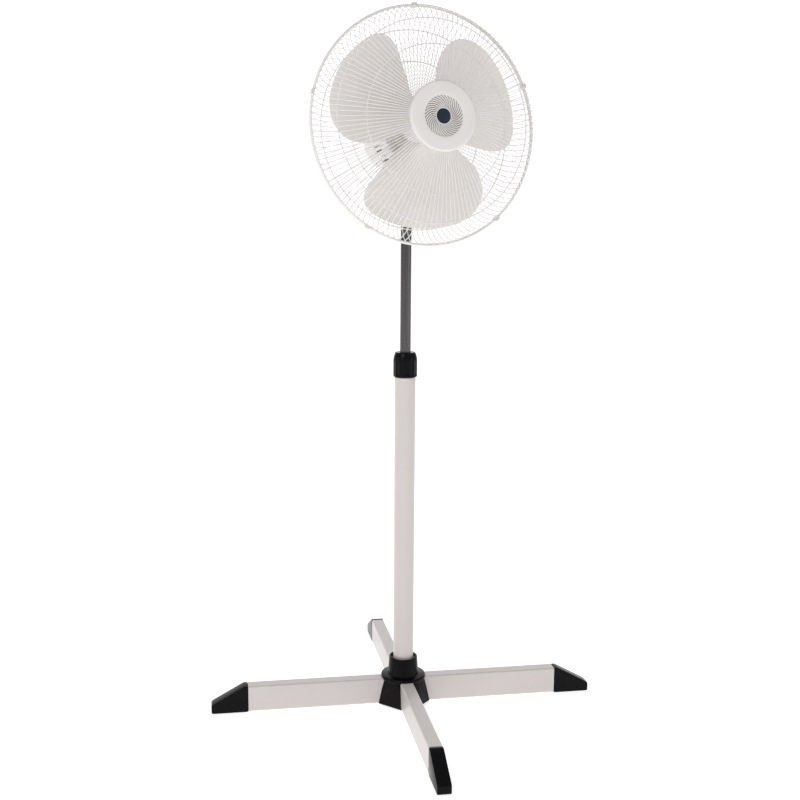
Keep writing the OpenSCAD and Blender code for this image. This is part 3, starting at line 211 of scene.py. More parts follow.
def make_materials(colours):
    """Every material of the fan, by name."""
    return {
        "paint": finish_material("fan_paint", colours.paint, 0.38, coat=0.25, spread=0.02, scale=9, bump=0.02),
        "black": finish_material("fan_gloss_black", colours.black, 0.22, spread=0.2, scale=60, bump=0.04,
                                 specular=0.09),
        "metal": finish_material("fan_gun_metal", colours.metal, 0.24, metallic=0.85, spread=0.12, scale=30,
                                 stretch=(6.0, 6.0, 0.3), bump=0.02),
        "white": finish_material("fan_white_plastic", colours.white, 0.36, coat=0.15, spread=0.02, scale=20),
        "shade": finish_material("fan_shade_plastic", colours.shade, 0.45, spread=0.03, scale=25),
        "blade": finish_material("fan_blade_plastic", colours.blade, 0.32, coat=0.2, spread=0.03, scale=14,
                                 translucent=0.15),
        "wire": finish_material("fan_wire_white", colours.wire, 0.35, coat=0.3, spread=0.02, scale=80),
        "badge": finish_material("fan_badge_navy", colours.badge, 0.3, coat=0.05, spread=0.15, scale=120,
                                 specular=0.25),
        "dark": finish_material("fan_black_plastic", colours.black, 0.42, spread=0.2, scale=60, bump=0.08,
                                specular=0.3),
        "zinc": finish_material("fan_zinc", colours.zinc, 0.32, metallic=1.0, spread=0.1, scale=60),
        "alloy": finish_material("fan_cast_alloy", colours.alloy, 0.55, metallic=0.9, spread=0.08, scale=60, bump=0.15),
        "iron": finish_material("fan_laminations", colours.iron, 0.5, metallic=0.7, spread=0.15, scale=40,
                                stretch=(1.0, 8.0, 1.0), bump=0.2),
        "copper": finish_material("fan_windings", colours.copper, 0.3, metallic=0.6, spread=0.25, scale=300, bump=0.4,
                                  grain=1500),
        "bronze": finish_material("fan_bronze", colours.bronze, 0.45, metallic=0.9, spread=0.1, scale=60, bump=0.1),
        "nylon": finish_material("fan_gear_plastic", colours.nylon, 0.5, spread=0.03, scale=60),
    }


MATERIALS = {}


def material(name):
    """A material by its short name, made when first asked for."""
    if not MATERIALS:
        MATERIALS.update(make_materials(bpy.context.scene.fan_colours))
    return MATERIALS[name]


# ---------- meshes ----------


def joint(name):
    """A joint of the frame, by name."""
    return next(j for j in frame["joints"] if j["name"] == name)


def head_matrix():
    """The fan axis's own frame: X to the right, Y up and Z out of the front, at the rim plane."""
    z = Vector(joint("rotor_spin")["axis"]).normalized()
    y = Vector(joint("head_swing")["axis"]).normalized()
    x = y.cross(z).normalized()
    turn = Matrix((x, y, z)).transposed().to_4x4()
    return Matrix.Translation(joint("rotor_spin")["pos_m"]) @ turn


HEAD = head_matrix()


def new_mesh(name, verts, faces):
    """A mesh with its faces turned outwards."""
    mesh = bpy.data.meshes.new(name)
    mesh.from_pydata([tuple(v) for v in verts], [], [tuple(f) for f in faces])
    work = bmesh.new()
    work.from_mesh(mesh)
    bmesh.ops.remove_doubles(work, verts=work.verts, dist=1e-7)
    bmesh.ops.recalc_face_normals(work, faces=work.faces)
    work.to_mesh(mesh)
    work.free()
    return mesh


def smooth(mesh, degrees=32.0):
    """Smooth shading that keeps edges sharper than the angle."""
    mesh.shade_smooth()
    mesh.set_sharp_from_angle(angle=math.radians(degrees))


def bevel(mesh, width, segments=3, degrees=30.0):
    """Rounds every edge sharper than the angle."""
    work = bmesh.new()
    work.from_mesh(mesh)
    edges = [e for e in work.edges if e.is_manifold and e.calc_face_angle(0.0) > math.radians(degrees)]
    bmesh.ops.bevel(work, geom=edges, offset=width, segments=segments, profile=0.5, affect="EDGES",
                    clamp_overlap=True)
    work.to_mesh(mesh)
    work.free()


def lathe(name, profile, segments=96):
    """Turns a closed outline of (radius, height) points about Z."""
    verts, faces = [], []
    rings = []
    for r, z in profile:
        if r < 1e-9:
            rings.append([len(verts)])
            verts.append((0.0, 0.0, z))
        else:
            rings.append(list(range(len(verts), len(verts) + segments)))
            verts += [(r * math.cos(2 * math.pi * k / segments), r * math.sin(2 * math.pi * k / segments), z)
                      for k in range(segments)]
    for a, b in zip(rings, rings[1:] + rings[:1]):
        for k in range(segments):
            n = (k + 1) % segments
            face = [a[k % len(a)], a[n % len(a)], b[n % len(b)], b[k % len(b)]]
            face = list(dict.fromkeys(face))
            if len(face) > 2:
                faces.append(face)
    return new_mesh(name, verts, faces)


def extrude(name, outline, low, high):
    """A flat outline of (x, y) points drawn out along Z."""
    n = len(outline)
    verts = [(x, y, low) for x, y in outline] + [(x, y, high) for x, y in outline]
    faces = [list(range(n))[::-1], list(range(n, 2 * n))]
    faces += [[k, (k + 1) % n, n + (k + 1) % n, n + k] for k in range(n)]
    return new_mesh(name, verts, faces)


def rounded(points, radius, steps=5):
    """An outline with its corners rounded."""
    out = []
    n = len(points)
    for i, p in enumerate(points):
        p = Vector(p)
        a, b = Vector(points[i - 1]) - p, Vector(points[(i + 1) % n]) - p
        r = min(radius, a.length * 0.45, b.length * 0.45)
        start, end = p + a.normalized() * r, p + b.normalized() * r
        out += [tuple((1 - t) ** 2 * start + 2 * t * (1 - t) * p + t ** 2 * end) for t in
                [k / steps for k in range(steps + 1)]]
    return out


def add_piece(name, mesh, body, nodes, look, matrix=None):
    """Puts a finished mesh in the scene in the row frame, with its body, the CAD nodes it stands for and its look."""
    if matrix is not None:
        mesh.transform(matrix)
    mesh.materials.clear()
    mesh.materials.append(material(look))
    obj = bpy.data.objects.new(name, mesh)
    bpy.context.scene.collection.objects.link(obj)
    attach(obj, body)
    if nodes:
        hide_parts(*nodes)
    return obj


def paint(look, *nodes):
    """Gives shown CAD nodes a look."""
    for name in nodes:
        obj = frame["nodes"][name]
        obj.data.materials.clear()
        obj.data.materials.append(material(look))


# ---------- geometry nodes ----------


def group_tree(name, inputs):
    """A geometry node group with named inputs; returns the tree, its input node and its output node."""
    tree = bpy.data.node_groups.new(name, "GeometryNodeTree")
    tree.interface.new_socket("Geometry", in_out="INPUT", socket_type="NodeSocketGeometry")
    for label, kind in inputs:
        tree.interface.new_socket(label, in_out="INPUT", socket_type=kind)
    tree.interface.new_socket("Geometry", in_out="OUTPUT", socket_type="NodeSocketGeometry")
    return tree, tree.nodes.new("NodeGroupInput"), tree.nodes.new("NodeGroupOutput")


def wire_tree():
    """Sweeps a round section along each curve, then copies the result evenly about Z."""
    tree, start, end = group_tree("Swept wires", [
        ("Thickness", "NodeSocketFloat"), ("Sides", "NodeSocketInt"), ("Count", "NodeSocketInt"),
        ("Material", "NodeSocketMaterial")])
    link = tree.links.new
    half = tree.nodes.new("ShaderNodeMath")
    half.operation = "MULTIPLY"
    half.inputs[1].default_value = 0.5
    link(start.outputs["Thickness"], half.inputs[0])
    section = tree.nodes.new("GeometryNodeCurvePrimitiveCircle")
    link(start.outputs["Sides"], section.inputs["Resolution"])
    link(half.outputs[0], section.inputs["Radius"])
    sweep = tree.nodes.new("GeometryNodeCurveToMesh")
    sweep.inputs["Fill Caps"].default_value = True
    link(start.outputs["Geometry"], sweep.inputs["Curve"])
    link(section.outputs["Curve"], sweep.inputs["Profile Curve"])
    soft = tree.nodes.new("GeometryNodeSetShadeSmooth")
    link(sweep.outputs["Mesh"], soft.inputs["Geometry"])
    link(copies_about_z(tree, soft.outputs["Geometry"], start), end.inputs["Geometry"])
    return tree


def copy_tree():
    """Copies a shape evenly about Z."""
    tree, start, end = group_tree("Radial copies", [("Count", "NodeSocketInt"), ("Material", "NodeSocketMaterial")])
    tree.links.new(copies_about_z(tree, start.outputs["Geometry"], start), end.inputs["Geometry"])
    return tree


def copies_about_z(tree, geometry, start):
    """Adds the nodes that place Count copies about Z; returns the last output."""
    link = tree.links.new
    points = tree.nodes.new("GeometryNodePoints")
    link(start.outputs["Count"], points.inputs["Count"])
    index = tree.nodes.new("GeometryNodeInputIndex")
    share = tree.nodes.new("ShaderNodeMath")
    share.operation = "DIVIDE"
    link(index.outputs["Index"], share.inputs[0])
    link(start.outputs["Count"], share.inputs[1])
    angle = tree.nodes.new("ShaderNodeMath")
    angle.operation = "MULTIPLY"
    angle.inputs[1].default_value = 2 * math.pi
    link(share.outputs[0], angle.inputs[0])
    turn = tree.nodes.new("ShaderNodeCombineXYZ")
    link(angle.outputs[0], turn.inputs["Z"])
    place = tree.nodes.new("GeometryNodeInstanceOnPoints")
    link(points.outputs[0], place.inputs["Points"])
    link(geometry, place.inputs["Instance"])
    link(turn.outputs["Vector"], place.inputs["Rotation"])
    real = tree.nodes.new("GeometryNodeRealizeInstances")
    link(place.outputs["Instances"], real.inputs["Geometry"])
    finish = tree.nodes.new("GeometryNodeSetMaterial")
    link(real.outputs["Geometry"], finish.inputs["Geometry"])
    link(start.outputs["Material"], finish.inputs["Material"])
    return finish.outputs["Geometry"]


TREES = {}


def through_nodes(source, kind, values):
    """Runs an object through a geometry node group and returns the plain mesh; the source is removed."""
    if kind not in TREES:
        TREES[kind] = {"wires": wire_tree, "copies": copy_tree}[kind]()
    tree = TREES[kind]
    bpy.context.scene.collection.objects.link(source)
    modifier = source.modifiers.new("shape", "NODES")
    modifier.node_group = tree
    for item in tree.interface.items_tree:
        if item.in_out == "INPUT" and item.name in values:
            modifier[item.identifier] = values[item.name]
    source.update_tag()
    graph = bpy.context.evaluated_depsgraph_get()
    mesh = bpy.data.meshes.new_from_object(source.evaluated_get(graph), depsgraph=graph)
    bpy.data.objects.remove(source)
    if not mesh.polygons:
        raise RuntimeError("the node group made no faces")
    return mesh


def curve_object(name, lines, closed):
    """A curve object of straight-segment lines."""
    data = bpy.data.curves.new(name, "CURVE")
    data.dimensions = "3D"
    for points in lines:
        line = data.splines.new("POLY")
        line.points.add(len(points) - 1)
        for target, p in zip(line.points, points):
            target.co = (*p, 1.0)
        line.use_cyclic_u = closed
    return bpy.data.objects.new(name, data)


def wires(name, lines, closed, thickness, count, sides, look):
    """Swept wires as a plain mesh."""
    return through_nodes(curve_object(name, lines, closed), "wires",
                         {"Thickness": thickness, "Sides": sides, "Count": count, "Material": material(look)})


def copies(name, mesh, count, look):
    """Copies of a mesh about Z as a plain mesh."""
    return through_nodes(bpy.data.objects.new(name, mesh), "copies", {"Count": count, "Material": material(look)})


def joined(name, meshes):
    """Several meshes as one."""
    work = bmesh.new()
    for mesh in meshes:
        work.from_mesh(mesh)
    out = bpy.data.meshes.new(name)
    work.to_mesh(out)
    work.free()
    return out


# ---------- guard shapes ----------


FRONT_SLOPE = math.radians(16.5)
REAR_SLOPE = math.radians(-3.5)
SPOKE_START = 48 * MM  # radius at which the spokes begin
SPOKE_IN = 56 * MM  # radius at which a guard has its stated depth
WIRE_GAP = 0.05 * MM  # gap between wires that touch
FRONT_RINGS = (50 * MM, 126 * MM, 173 * MM)  # radii of the stiffening rings
REAR_RINGS = (120 * MM, 175 * MM)


def spoke_shape(s, depth, slope):
    """Radius of a spoke's shoulder, its centre's radius and the rim's height, as the CAD part has them."""
    rim_z = s.rim_d / 2 + 0.3 * MM
    rim_r = s.guard_r - s.rim_d / 2
    wire_end = rim_r - s.rim_d / 2 - s.wire_d / 2 - WIRE_GAP
    t = math.tan(slope)
    r = (depth - t * (wire_end - SPOKE_IN) - rim_z) / (math.cos(slope) - t * (1 - math.sin(slope)))
    return r, wire_end - r, rim_z, rim_r


def spoke_line(s, depth, slope):
    """The middle line of a spoke, in the plane of X and Z."""
    r, cx, rim_z, _ = spoke_shape(s, depth, slope)
    steps = 12
    turns = [(math.pi / 2 - slope) * k / steps for k in range(steps + 1)]
    line = [(cx + r * math.cos(a), 0.0, rim_z + r * math.sin(a)) for a in turns]
    x, z = line[-1][0], line[-1][2]
    return line + [(SPOKE_START, 0.0, z + math.tan(slope) * (x - SPOKE_START))]


def ring_line(s, depth, slope, radius):
    """A stiffening ring against the inside of the spokes."""
    r, cx, rim_z, _ = spoke_shape(s, depth, slope)
    gap = (s.wire_d + s.ring_d) / 2 + WIRE_GAP
    if radius > cx + r * math.sin(slope):
        a = max(slope, math.asin(max(-1.0, min(1.0, (radius - cx) / r))))
        radius, z = cx + (r - gap) * math.sin(a), rim_z + (r - gap) * math.cos(a)
    else:
        z = depth - math.tan(slope) * (radius - SPOKE_IN) - gap * math.cos(slope)
        radius -= gap * math.sin(slope)
    return circle_line(radius, z)


def circle_line(radius, z, steps=180):
    """A circle about Z."""
    return [(radius * math.cos(2 * math.pi * k / steps), radius * math.sin(2 * math.pi * k / steps), z)
            for k in range(steps)]


# ---------- operators ----------


class FanOperator:
    """What the operators share."""

    bl_options = {"REGISTER"}

    def execute(self, context):
        self.build(context.scene.fan_sizes)
        return {"FINISHED"}


class FAN_OT_legs(FanOperator, bpy.types.Operator):
    """Gives the leg tubes their look and builds their foot caps"""

    bl_idname = "fan.legs"
    bl_label = "Legs"

    def build(self, s):
        paint("paint", "leg_tube_side", "leg_tube_front")
        for name, turn in (("right", 0), ("back", 90), ("left", 180), ("front", 270)):
            mesh = self.cap(s)
            mesh.transform(Matrix.Rotation(math.radians(turn), 4, "Z"))
            add_piece("cap_" + name, mesh, "stand", ["foot_cap_" + name], "black")

    def cap(self, s):
        """One foot cap on the right-hand leg, with a sloping top."""
        outline = [(s.leg_reach + 0.1 * MM, 0.0), (s.leg_reach + s.cap_reach, 0.0),
                   (s.leg_reach + s.cap_reach, s.cap_tip), (s.leg_reach + s.cap_flat, s.leg_top),
                   (s.leg_reach + 0.1 * MM, s.leg_top)]
        mesh = extrude("cap", rounded(outline, 4 * MM, 6), -s.leg_w / 2, s.leg_w / 2)
        bevel(mesh, 1.6 * MM, 3, 40)
        smooth(mesh, 30)
        mesh.transform(Matrix.Rotation(math.radians(90), 4, "X"))
        return mesh


class FAN_OT_base_cover(FanOperator, bpy.types.Operator):
    """Builds the base cover over the crossing of the legs"""

    bl_idname = "fan.base_cover"
    bl_label = "Base cover"

    def build(self, s):
        low, high = s.pole_r + 10 * MM, s.pole_r + 7.8 * MM
        z, top, r = s.flange_z, s.cover_top, s.flange_r
        collar = lathe("collar", [
            (s.pole_r + 0.3 * MM, z), (r - 1.5 * MM, z), (r - 0.4 * MM, z + 0.5 * MM), (r, z + 1.6 * MM),
            (r, z + 6.6 * MM), (r - 0.6 * MM, z + 8.2 * MM), (r - 2.4 * MM, z + 9 * MM), (low + 2 * MM, z + 9.1 * MM),
            (low + 0.4 * MM, z + 9.8 * MM), (low - 0.2 * MM, z + 12 * MM), (high, top - 2.0 * MM),
            (high - 0.5 * MM, top - 0.6 * MM), (high - 1.6 * MM, top), (high - 2.8 * MM, top - 0.4 * MM),
            (high - 3.4 * MM, top - 1.6 * MM), (high - 4.2 * MM, top - 4 * MM), (s.pole_r + 0.3 * MM, top - 4.2 * MM)])
        smooth(collar, 50)
        skirt = self.skirt(s)
        add_piece("base_cover_skin", joined("base_cover", [collar, skirt]), "stand", ["base_cover"],
                  "black")
        paint("zinc", "pole_socket", "base_bolt", "base_nut")

    def skirt(self, s):
        """Round at the flange and eight-sided at the floor, as a thin shell."""
        near, far = s.leg_w / 2 + 1 * MM, s.cover_skirt
        corners = [Vector(p) for a in range(4) for p in
                   [self.quarter((far, near), a), self.quarter((near, far), a)]]
        steps, rows = 128, 14

        def outer(angle):
            ray = Vector((math.cos(angle), math.sin(angle)))
            best = far
            for i, a in enumerate(corners):
                b = corners[(i + 1) % len(corners)]
                edge = b - a
                cross = ray.x * edge.y - ray.y * edge.x
                if abs(cross) > 1e-12:
                    t = (a.x * edge.y - a.y * edge.x) / cross
                    u = (a.x * ray.y - a.y * ray.x) / cross
                    if t > 0 and -1e-6 <= u <= 1 + 1e-6:
                        best = t
            return best

        shell = []
        for inset in (0.0, 2 * MM):
            for k in range(rows + 1):
                t = k / rows
                zz = s.flange_z + 0.5 * MM + (1.0 * MM - s.flange_z) * t
                blend = t ** 0.8
                shell.append([((1 - blend) * (s.flange_r - 1.6 * MM) + blend * outer(2 * math.pi * j / steps) - inset,
                               2 * math.pi * j / steps, zz) for j in range(steps)])
        order = shell[:rows + 1] + shell[rows + 1:][::-1]
        verts = [(r * math.cos(a), r * math.sin(a), zz) for ring in order for r, a, zz in ring]
        count = len(order)
        faces = [[i * steps + j, i * steps + (j + 1) % steps, (i + 1) % count * steps + (j + 1) % steps,
                  (i + 1) % count * steps + j] for i in range(count) for j in range(steps)]
        mesh = new_mesh("skirt", verts, faces)
        smooth(mesh, 24)
        return mesh

    def quarter(self, p, turns):
        """A flat point turned by a number of right angles."""
        x, y = p
        for _ in range(turns):
            x, y = -y, x
        return x, y


class FAN_OT_pole(FanOperator, bpy.types.Operator):
    """Builds the lower pole and the collar nut, and gives the upper pole its look"""

    bl_idname = "fan.pole"
    bl_label = "Pole"

    def build(self, s):
        tube = lathe("lower_pole", [
            (s.pole_r - 1.2 * MM, s.pole_foot), (s.pole_r, s.pole_foot), (s.pole_r, s.pole_top - 0.4 * MM),
            (s.pole_r - 0.4 * MM, s.pole_top), (s.pole_r - 1.2 * MM, s.pole_top)], 128)
        smooth(tube)
        add_piece("lower_pole_skin", tube, "stand", ["lower_pole"], "paint")
        paint("shade", "pole_collet", "pole_guide")
        add_piece("collar_nut_skin", self.nut(s), "collar", ["collar_nut"], "black")
        paint("metal", "upper_pole")

    def nut(self, s):
        """One flute's sector of the nut, copied round."""
        per, rows = 12, 40
        taper, r0, h = s.collar_h * 0.32, s.collar_r, s.collar_h

        def radius(z):
            if z < 2.4 * MM:
                return r0 - 2.2 * MM * (1 - math.sqrt(max(0.0, 1 - (1 - z / (2.4 * MM)) ** 2)))
            if z < h - taper:
                return r0
            u = (z - h + taper) / taper
            return r0 - 3.6 * MM * u ** 1.5

        rings = []
        for k in range(rows + 1):
            z = h * k / rows
            r = radius(z)
            if k == rows:
                r -= 0.8 * MM
            # A flute runs from near the foot up to a pointed arch at the shoulder
            depth = 1.15 * MM * min(1.0, max(0.0, (z - 3 * MM) / (3 * MM)))
            reach = min(1.0, max(0.0, (h * 0.80 - z) / (h * 0.16)))
            row = []
            for j in range(per + 1):
                v = abs(2 * j / per - 1)
                cut = max(0.0, 1 - (v / max(0.001, 0.78 * reach ** 0.5)) ** 2) if reach > 0 else 0.0
                a = math.pi * 2 / s.collar_flutes * (j / per)
                rr = r - depth * cut
                row.append((rr * math.cos(a), rr * math.sin(a), s.collar_z + z))
            rings.append(row)
        inner = 10.8 * MM
        for z in (h, 0.0):
            rings.append([(inner * math.cos(math.pi * 2 / s.collar_flutes * (j / per)),
                           inner * math.sin(math.pi * 2 / s.collar_flutes * (j / per)), s.collar_z + z)
                          for j in range(per + 1)])
        verts = [v for row in rings for v in row]
        n, count = per + 1, len(rings)
        faces = [[i * n + j, i * n + j + 1, (i + 1) % count * n + j + 1, (i + 1) % count * n + j]
                 for i in range(count) for j in range(per)]
        sector = bpy.data.meshes.new("flute")
        sector.from_pydata(verts, [], faces)
        whole = copies("collar_nut", sector, s.collar_flutes, "black")
        work = bmesh.new()
        work.from_mesh(whole)
        bmesh.ops.remove_doubles(work, verts=work.verts, dist=1e-6)
        bmesh.ops.recalc_face_normals(work, faces=work.faces)
        work.to_mesh(whole)
        work.free()
        smooth(whole, 40)
        return whole


class FAN_OT_housing(FanOperator, bpy.types.Operator):
    """Gives the control housing, buttons and tilt joint their looks"""

    bl_idname = "fan.housing"
    bl_label = "Control housing"

    def build(self, s):
        paint("white", "control_housing", "control_back")
        paint("dark", "switch_block", "cord_gland")
        paint("shade", "button_low", "button_medium", "button_high")
        paint("badge", "button_off")
        paint("zinc", "housing_screws", "tilt_bolt", "tilt_nut", "swivel_clip", "crank_link")
        paint("metal", "tilt_bracket")


class FAN_OT_motor(FanOperator, bpy.types.Operator):
    """Gives the motor, its covers and its gears their looks"""

    bl_idname = "fan.motor"
    bl_label = "Motor"

    def build(self, s):
        paint("white", "front_cover", "rear_cover")
        paint("zinc", "cover_screws", "motor_bolts", "shaft_pin", "rotor_shaft", "worm")
        paint("alloy", "front_end_shield", "gear_case")
        paint("iron", "stator_core", "rotor_core")
        paint("copper", "stator_windings")
        paint("bronze", "front_bearing", "rear_bearing")
        paint("nylon", "worm_wheel", "crank_gear")
        paint("dark", "swing_knob")


class FAN_OT_guards(FanOperator, bpy.types.Operator):
    """Builds the front and rear guards from swept wires"""

    bl_idname = "fan.guards"
    bl_label = "Guards"

    def build(self, s):
        flip = HEAD @ Matrix.Diagonal((1, 1, -1, 1))
        front = wires("front_spokes", [spoke_line(s, s.front_depth, FRONT_SLOPE)], False, s.wire_d, s.wire_count, 8,
                      "wire")
        add_piece("front_spokes", front, "head", ["front_guard_wires"], "wire", HEAD)
        rear = wires("rear_spokes", [spoke_line(s, s.rear_depth, REAR_SLOPE)], False, s.wire_d, s.wire_count, 8, "wire")
        add_piece("rear_spokes", self.turned(rear), "head", ["rear_guard_wires"], "wire", flip)
        rim_z, rim_r = spoke_shape(s, s.front_depth, FRONT_SLOPE)[2:]
        rim = [circle_line(rim_r, rim_z, 240)]
        front_rings = [wires("front_rim", rim, True, s.rim_d, 1, 16, "wire"),
                       wires("front_rings", [ring_line(s, s.front_depth, FRONT_SLOPE, r) for r in FRONT_RINGS],
                             True, s.ring_d, 1, 10, "wire")]
        add_piece("front_rings", joined("front_rings", front_rings), "head", ["front_guard_rings"], "wire",
                  HEAD)
        plate = self.mounting_plate(s)
        rear_rings = [wires("rear_rim", rim, True, s.rim_d, 1, 16, "wire"),
                      wires("rear_rings", [ring_line(s, s.rear_depth, REAR_SLOPE, r) for r in REAR_RINGS], True,
                            s.ring_d, 1, 10, "wire"), plate]
        add_piece("rear_rings", self.turned(joined("rear_rings", rear_rings)), "head", ["rear_guard_rings"],
                  "wire", flip)
        paint("shade", "guard_nut", *["rim_clip_" + n for n in "abcde"])

    def mounting_plate(self, s):
        """The flat ring against the rear spokes, which the guard nut clamps to the motor."""
        hole, edge, thick, round_off = 20.8 * MM, 60 * MM, 1.2 * MM, 0.6 * MM
        low = s.rear_depth - math.tan(REAR_SLOPE) * (edge - SPOKE_IN) + s.wire_d / 2 + WIRE_GAP
        ring = lathe("plate", [(hole, low), (edge - round_off, low), (edge, low + thick / 2),
                               (edge - round_off, low + thick), (hole, low + thick)], 120)
        smooth(ring, 60)
        return ring

    def turned(self, mesh):
        """Turns the faces over ahead of a mirroring transform."""
        mesh.flip_normals()
        return mesh


class FAN_OT_disc(FanOperator, bpy.types.Operator):
    """Builds the middle disc with its curved fins and the badge"""

    bl_idname = "fan.disc"
    bl_label = "Middle disc"

    def build(self, s):
        face, back = s.front_depth + 6.5 * MM, s.front_depth - 6 * MM
        floor = face - 7 * MM
        r, q = s.disc_r, s.recess_r
        shell = lathe("disc", [
            (0.0, floor - 2 * MM), (q + 1 * MM, floor - 2 * MM), (q + 2 * MM, face - 2.2 * MM),
            (r - 2.6 * MM, face - 2.2 * MM), (r - 2.6 * MM, back), (r, back), (r, face - 3 * MM),
            (r - 0.35 * MM, face - 1.9 * MM), (r - 1.2 * MM, face - 0.95 * MM), (r - 2.6 * MM, face - 0.4 * MM),
            (r - 5 * MM, face - 0.15 * MM), (q + 6 * MM, face), (q + 1.4 * MM, face), (q + 0.4 * MM, face - 0.4 * MM),
            (q, face - 1.4 * MM), (q, floor), (0.0, floor)], 160)
        smooth(shell, 40)
        line = self.fin_outline(s)
        fin = extrude("fin", line, floor - 0.5 * MM, floor + 5.7 * MM)
        bevel(fin, 0.3 * MM, 2, 50)
        fins = copies("fins", fin, s.fin_count, "white")
        b = s.badge_r
        ring = lathe("badge_ring", [(b + 0.2 * MM, floor - 0.5 * MM), (b + 1.3 * MM, floor - 0.5 * MM),
                                    (b + 1.3 * MM, floor + 5.3 * MM), (b + 1.1 * MM, floor + 5.5 * MM),
                                    (b + 0.4 * MM, floor + 5.5 * MM), (b + 0.2 * MM, floor + 5.3 * MM)], 96)
        smooth(ring, 50)
        add_piece("disc_skin", joined("disc", [shell, fins, ring]), "head", ["front_disc"], "white",
                  HEAD)
        low = s.front_depth - 0.45 * MM
        cap = lathe("badge", [(0.0, low), (b, low), (b, low + 4.0 * MM), (b - 0.3 * MM, low + 4.5 * MM),
                              (b - 1.2 * MM, low + 4.8 * MM), (0.0, low + 5.0 * MM)], 96)
        smooth(cap, 50)
        add_piece("badge_skin", cap, "head", ["badge"], "badge", HEAD)

    def fin_outline(self, s):
        """Both sides of a fin that sweeps round as it runs out."""
        low, high = s.badge_r + 0.8 * MM, s.recess_r
        sides = []
        for side in (-1, 1):
            line = []
            for k in range(13):
                u = k / 12
                a, lean = math.radians(34 * u ** 1.4), math.radians(34 * u ** 1.4 + 35 * u)
                rr = low + (high - low) * u
                half = side * (0.64 + 0.56 * u) * MM
                line.append((rr * math.cos(a) - half * math.sin(lean), rr * math.sin(a) + half * math.cos(lean)))
            sides.append(line)
        return sides[0] + sides[1][::-1]


BLADE_START = 102.0  # angle of a blade's rear edge at the hub, in degrees
BLADE_SPAN = 98.5  # angle from a blade's rear edge to its front edge
BLADE_REAR = -24.8 * MM  # depth of the rear edge, from the rim plane


class FAN_OT_blade(FanOperator, bpy.types.Operator):
    """Builds the fan blade with its three paddles"""

    bl_idname = "fan.blade"
    bl_label = "Blade"

    def build(self, s):
        paddles = copies("paddles", self.paddle(s), 3, "blade")
        add_piece("blade_skin", joined("blade", [paddles, self.hub(s)]), "rotor", ["fan_blade"],
                  "blade", HEAD)
        paint("shade", "blade_nut")

    def paddle(self, s):
        """One twisted blade, thickest in its middle and thin at its edges."""
        rows, cols = 40, 36
        start, span, rear = BLADE_START, BLADE_SPAN, BLADE_REAR
        sides = []
        for face in (-1, 1):
            for i in range(rows + 1):
                u = i / rows
                r = s.hub_r - 2 * MM + (s.blade_r - s.hub_r + 2 * MM) * u
                a0 = start + 4 * math.sin(math.pi / 2 * u) + 12.5 * self.corner(u, 0.7)
                a1 = start + span * (1 - 0.15 * max(0.0, 2 * u - 1) ** 1.35) - 16 * self.corner(u, 0.77)
                for j in range(cols + 1):
                    v = j / cols
                    a = a0 + (a1 - a0) * v
                    t = s.blade_t * (0.35 + 0.65 * math.sqrt(max(0.0, math.sin(math.pi * v)))) * (1 - 0.35 * u)
                    z = rear + s.blade_depth * (a - start) / span + face * t / 2
                    sides.append((r * math.cos(math.radians(a)), r * math.sin(math.radians(a)), z))
        n = cols + 1

        def at(f, i, j):
            return f * (rows + 1) * n + i * n + j

        faces = [[at(f, i, j), at(f, i, j + 1), at(f, i + 1, j + 1), at(f, i + 1, j)]
                 for f in (0, 1) for i in range(rows) for j in range(cols)]
        faces += [[at(0, i, j), at(1, i, j), at(1, i, j + 1), at(0, i, j + 1)] for i in (0, rows) for j in range(cols)]
        faces += [[at(0, i, j), at(0, i + 1, j), at(1, i + 1, j), at(1, i, j)] for j in (0, cols) for i in range(rows)]
        mesh = new_mesh("paddle", sides, faces)
        smooth(mesh, 50)
        return mesh

    def hub(self, s):
        """The hub: a cup with its open side to the motor and a boss round the shaft."""
        h, low, high = s.hub_r, -26 * MM, 27 * MM
        mesh = lathe("hub", [(4.05 * MM, low), (9 * MM, low), (9 * MM, high - 3 * MM), (h - 3 * MM, high - 3 * MM),
                             (h - 3 * MM, low), (h, low), (h, high - 2 * MM), (h - 0.6 * MM, high - 0.6 * MM),
                             (h - 2 * MM, high), (4.05 * MM, high)], 96)
        smooth(mesh, 45)
        return mesh

    def corner(self, u, start):
        """How far a rounded corner has drawn an edge in."""
        return 1 - math.sqrt(1 - max(0.0, (u - start) / (1 - start)) ** 2)


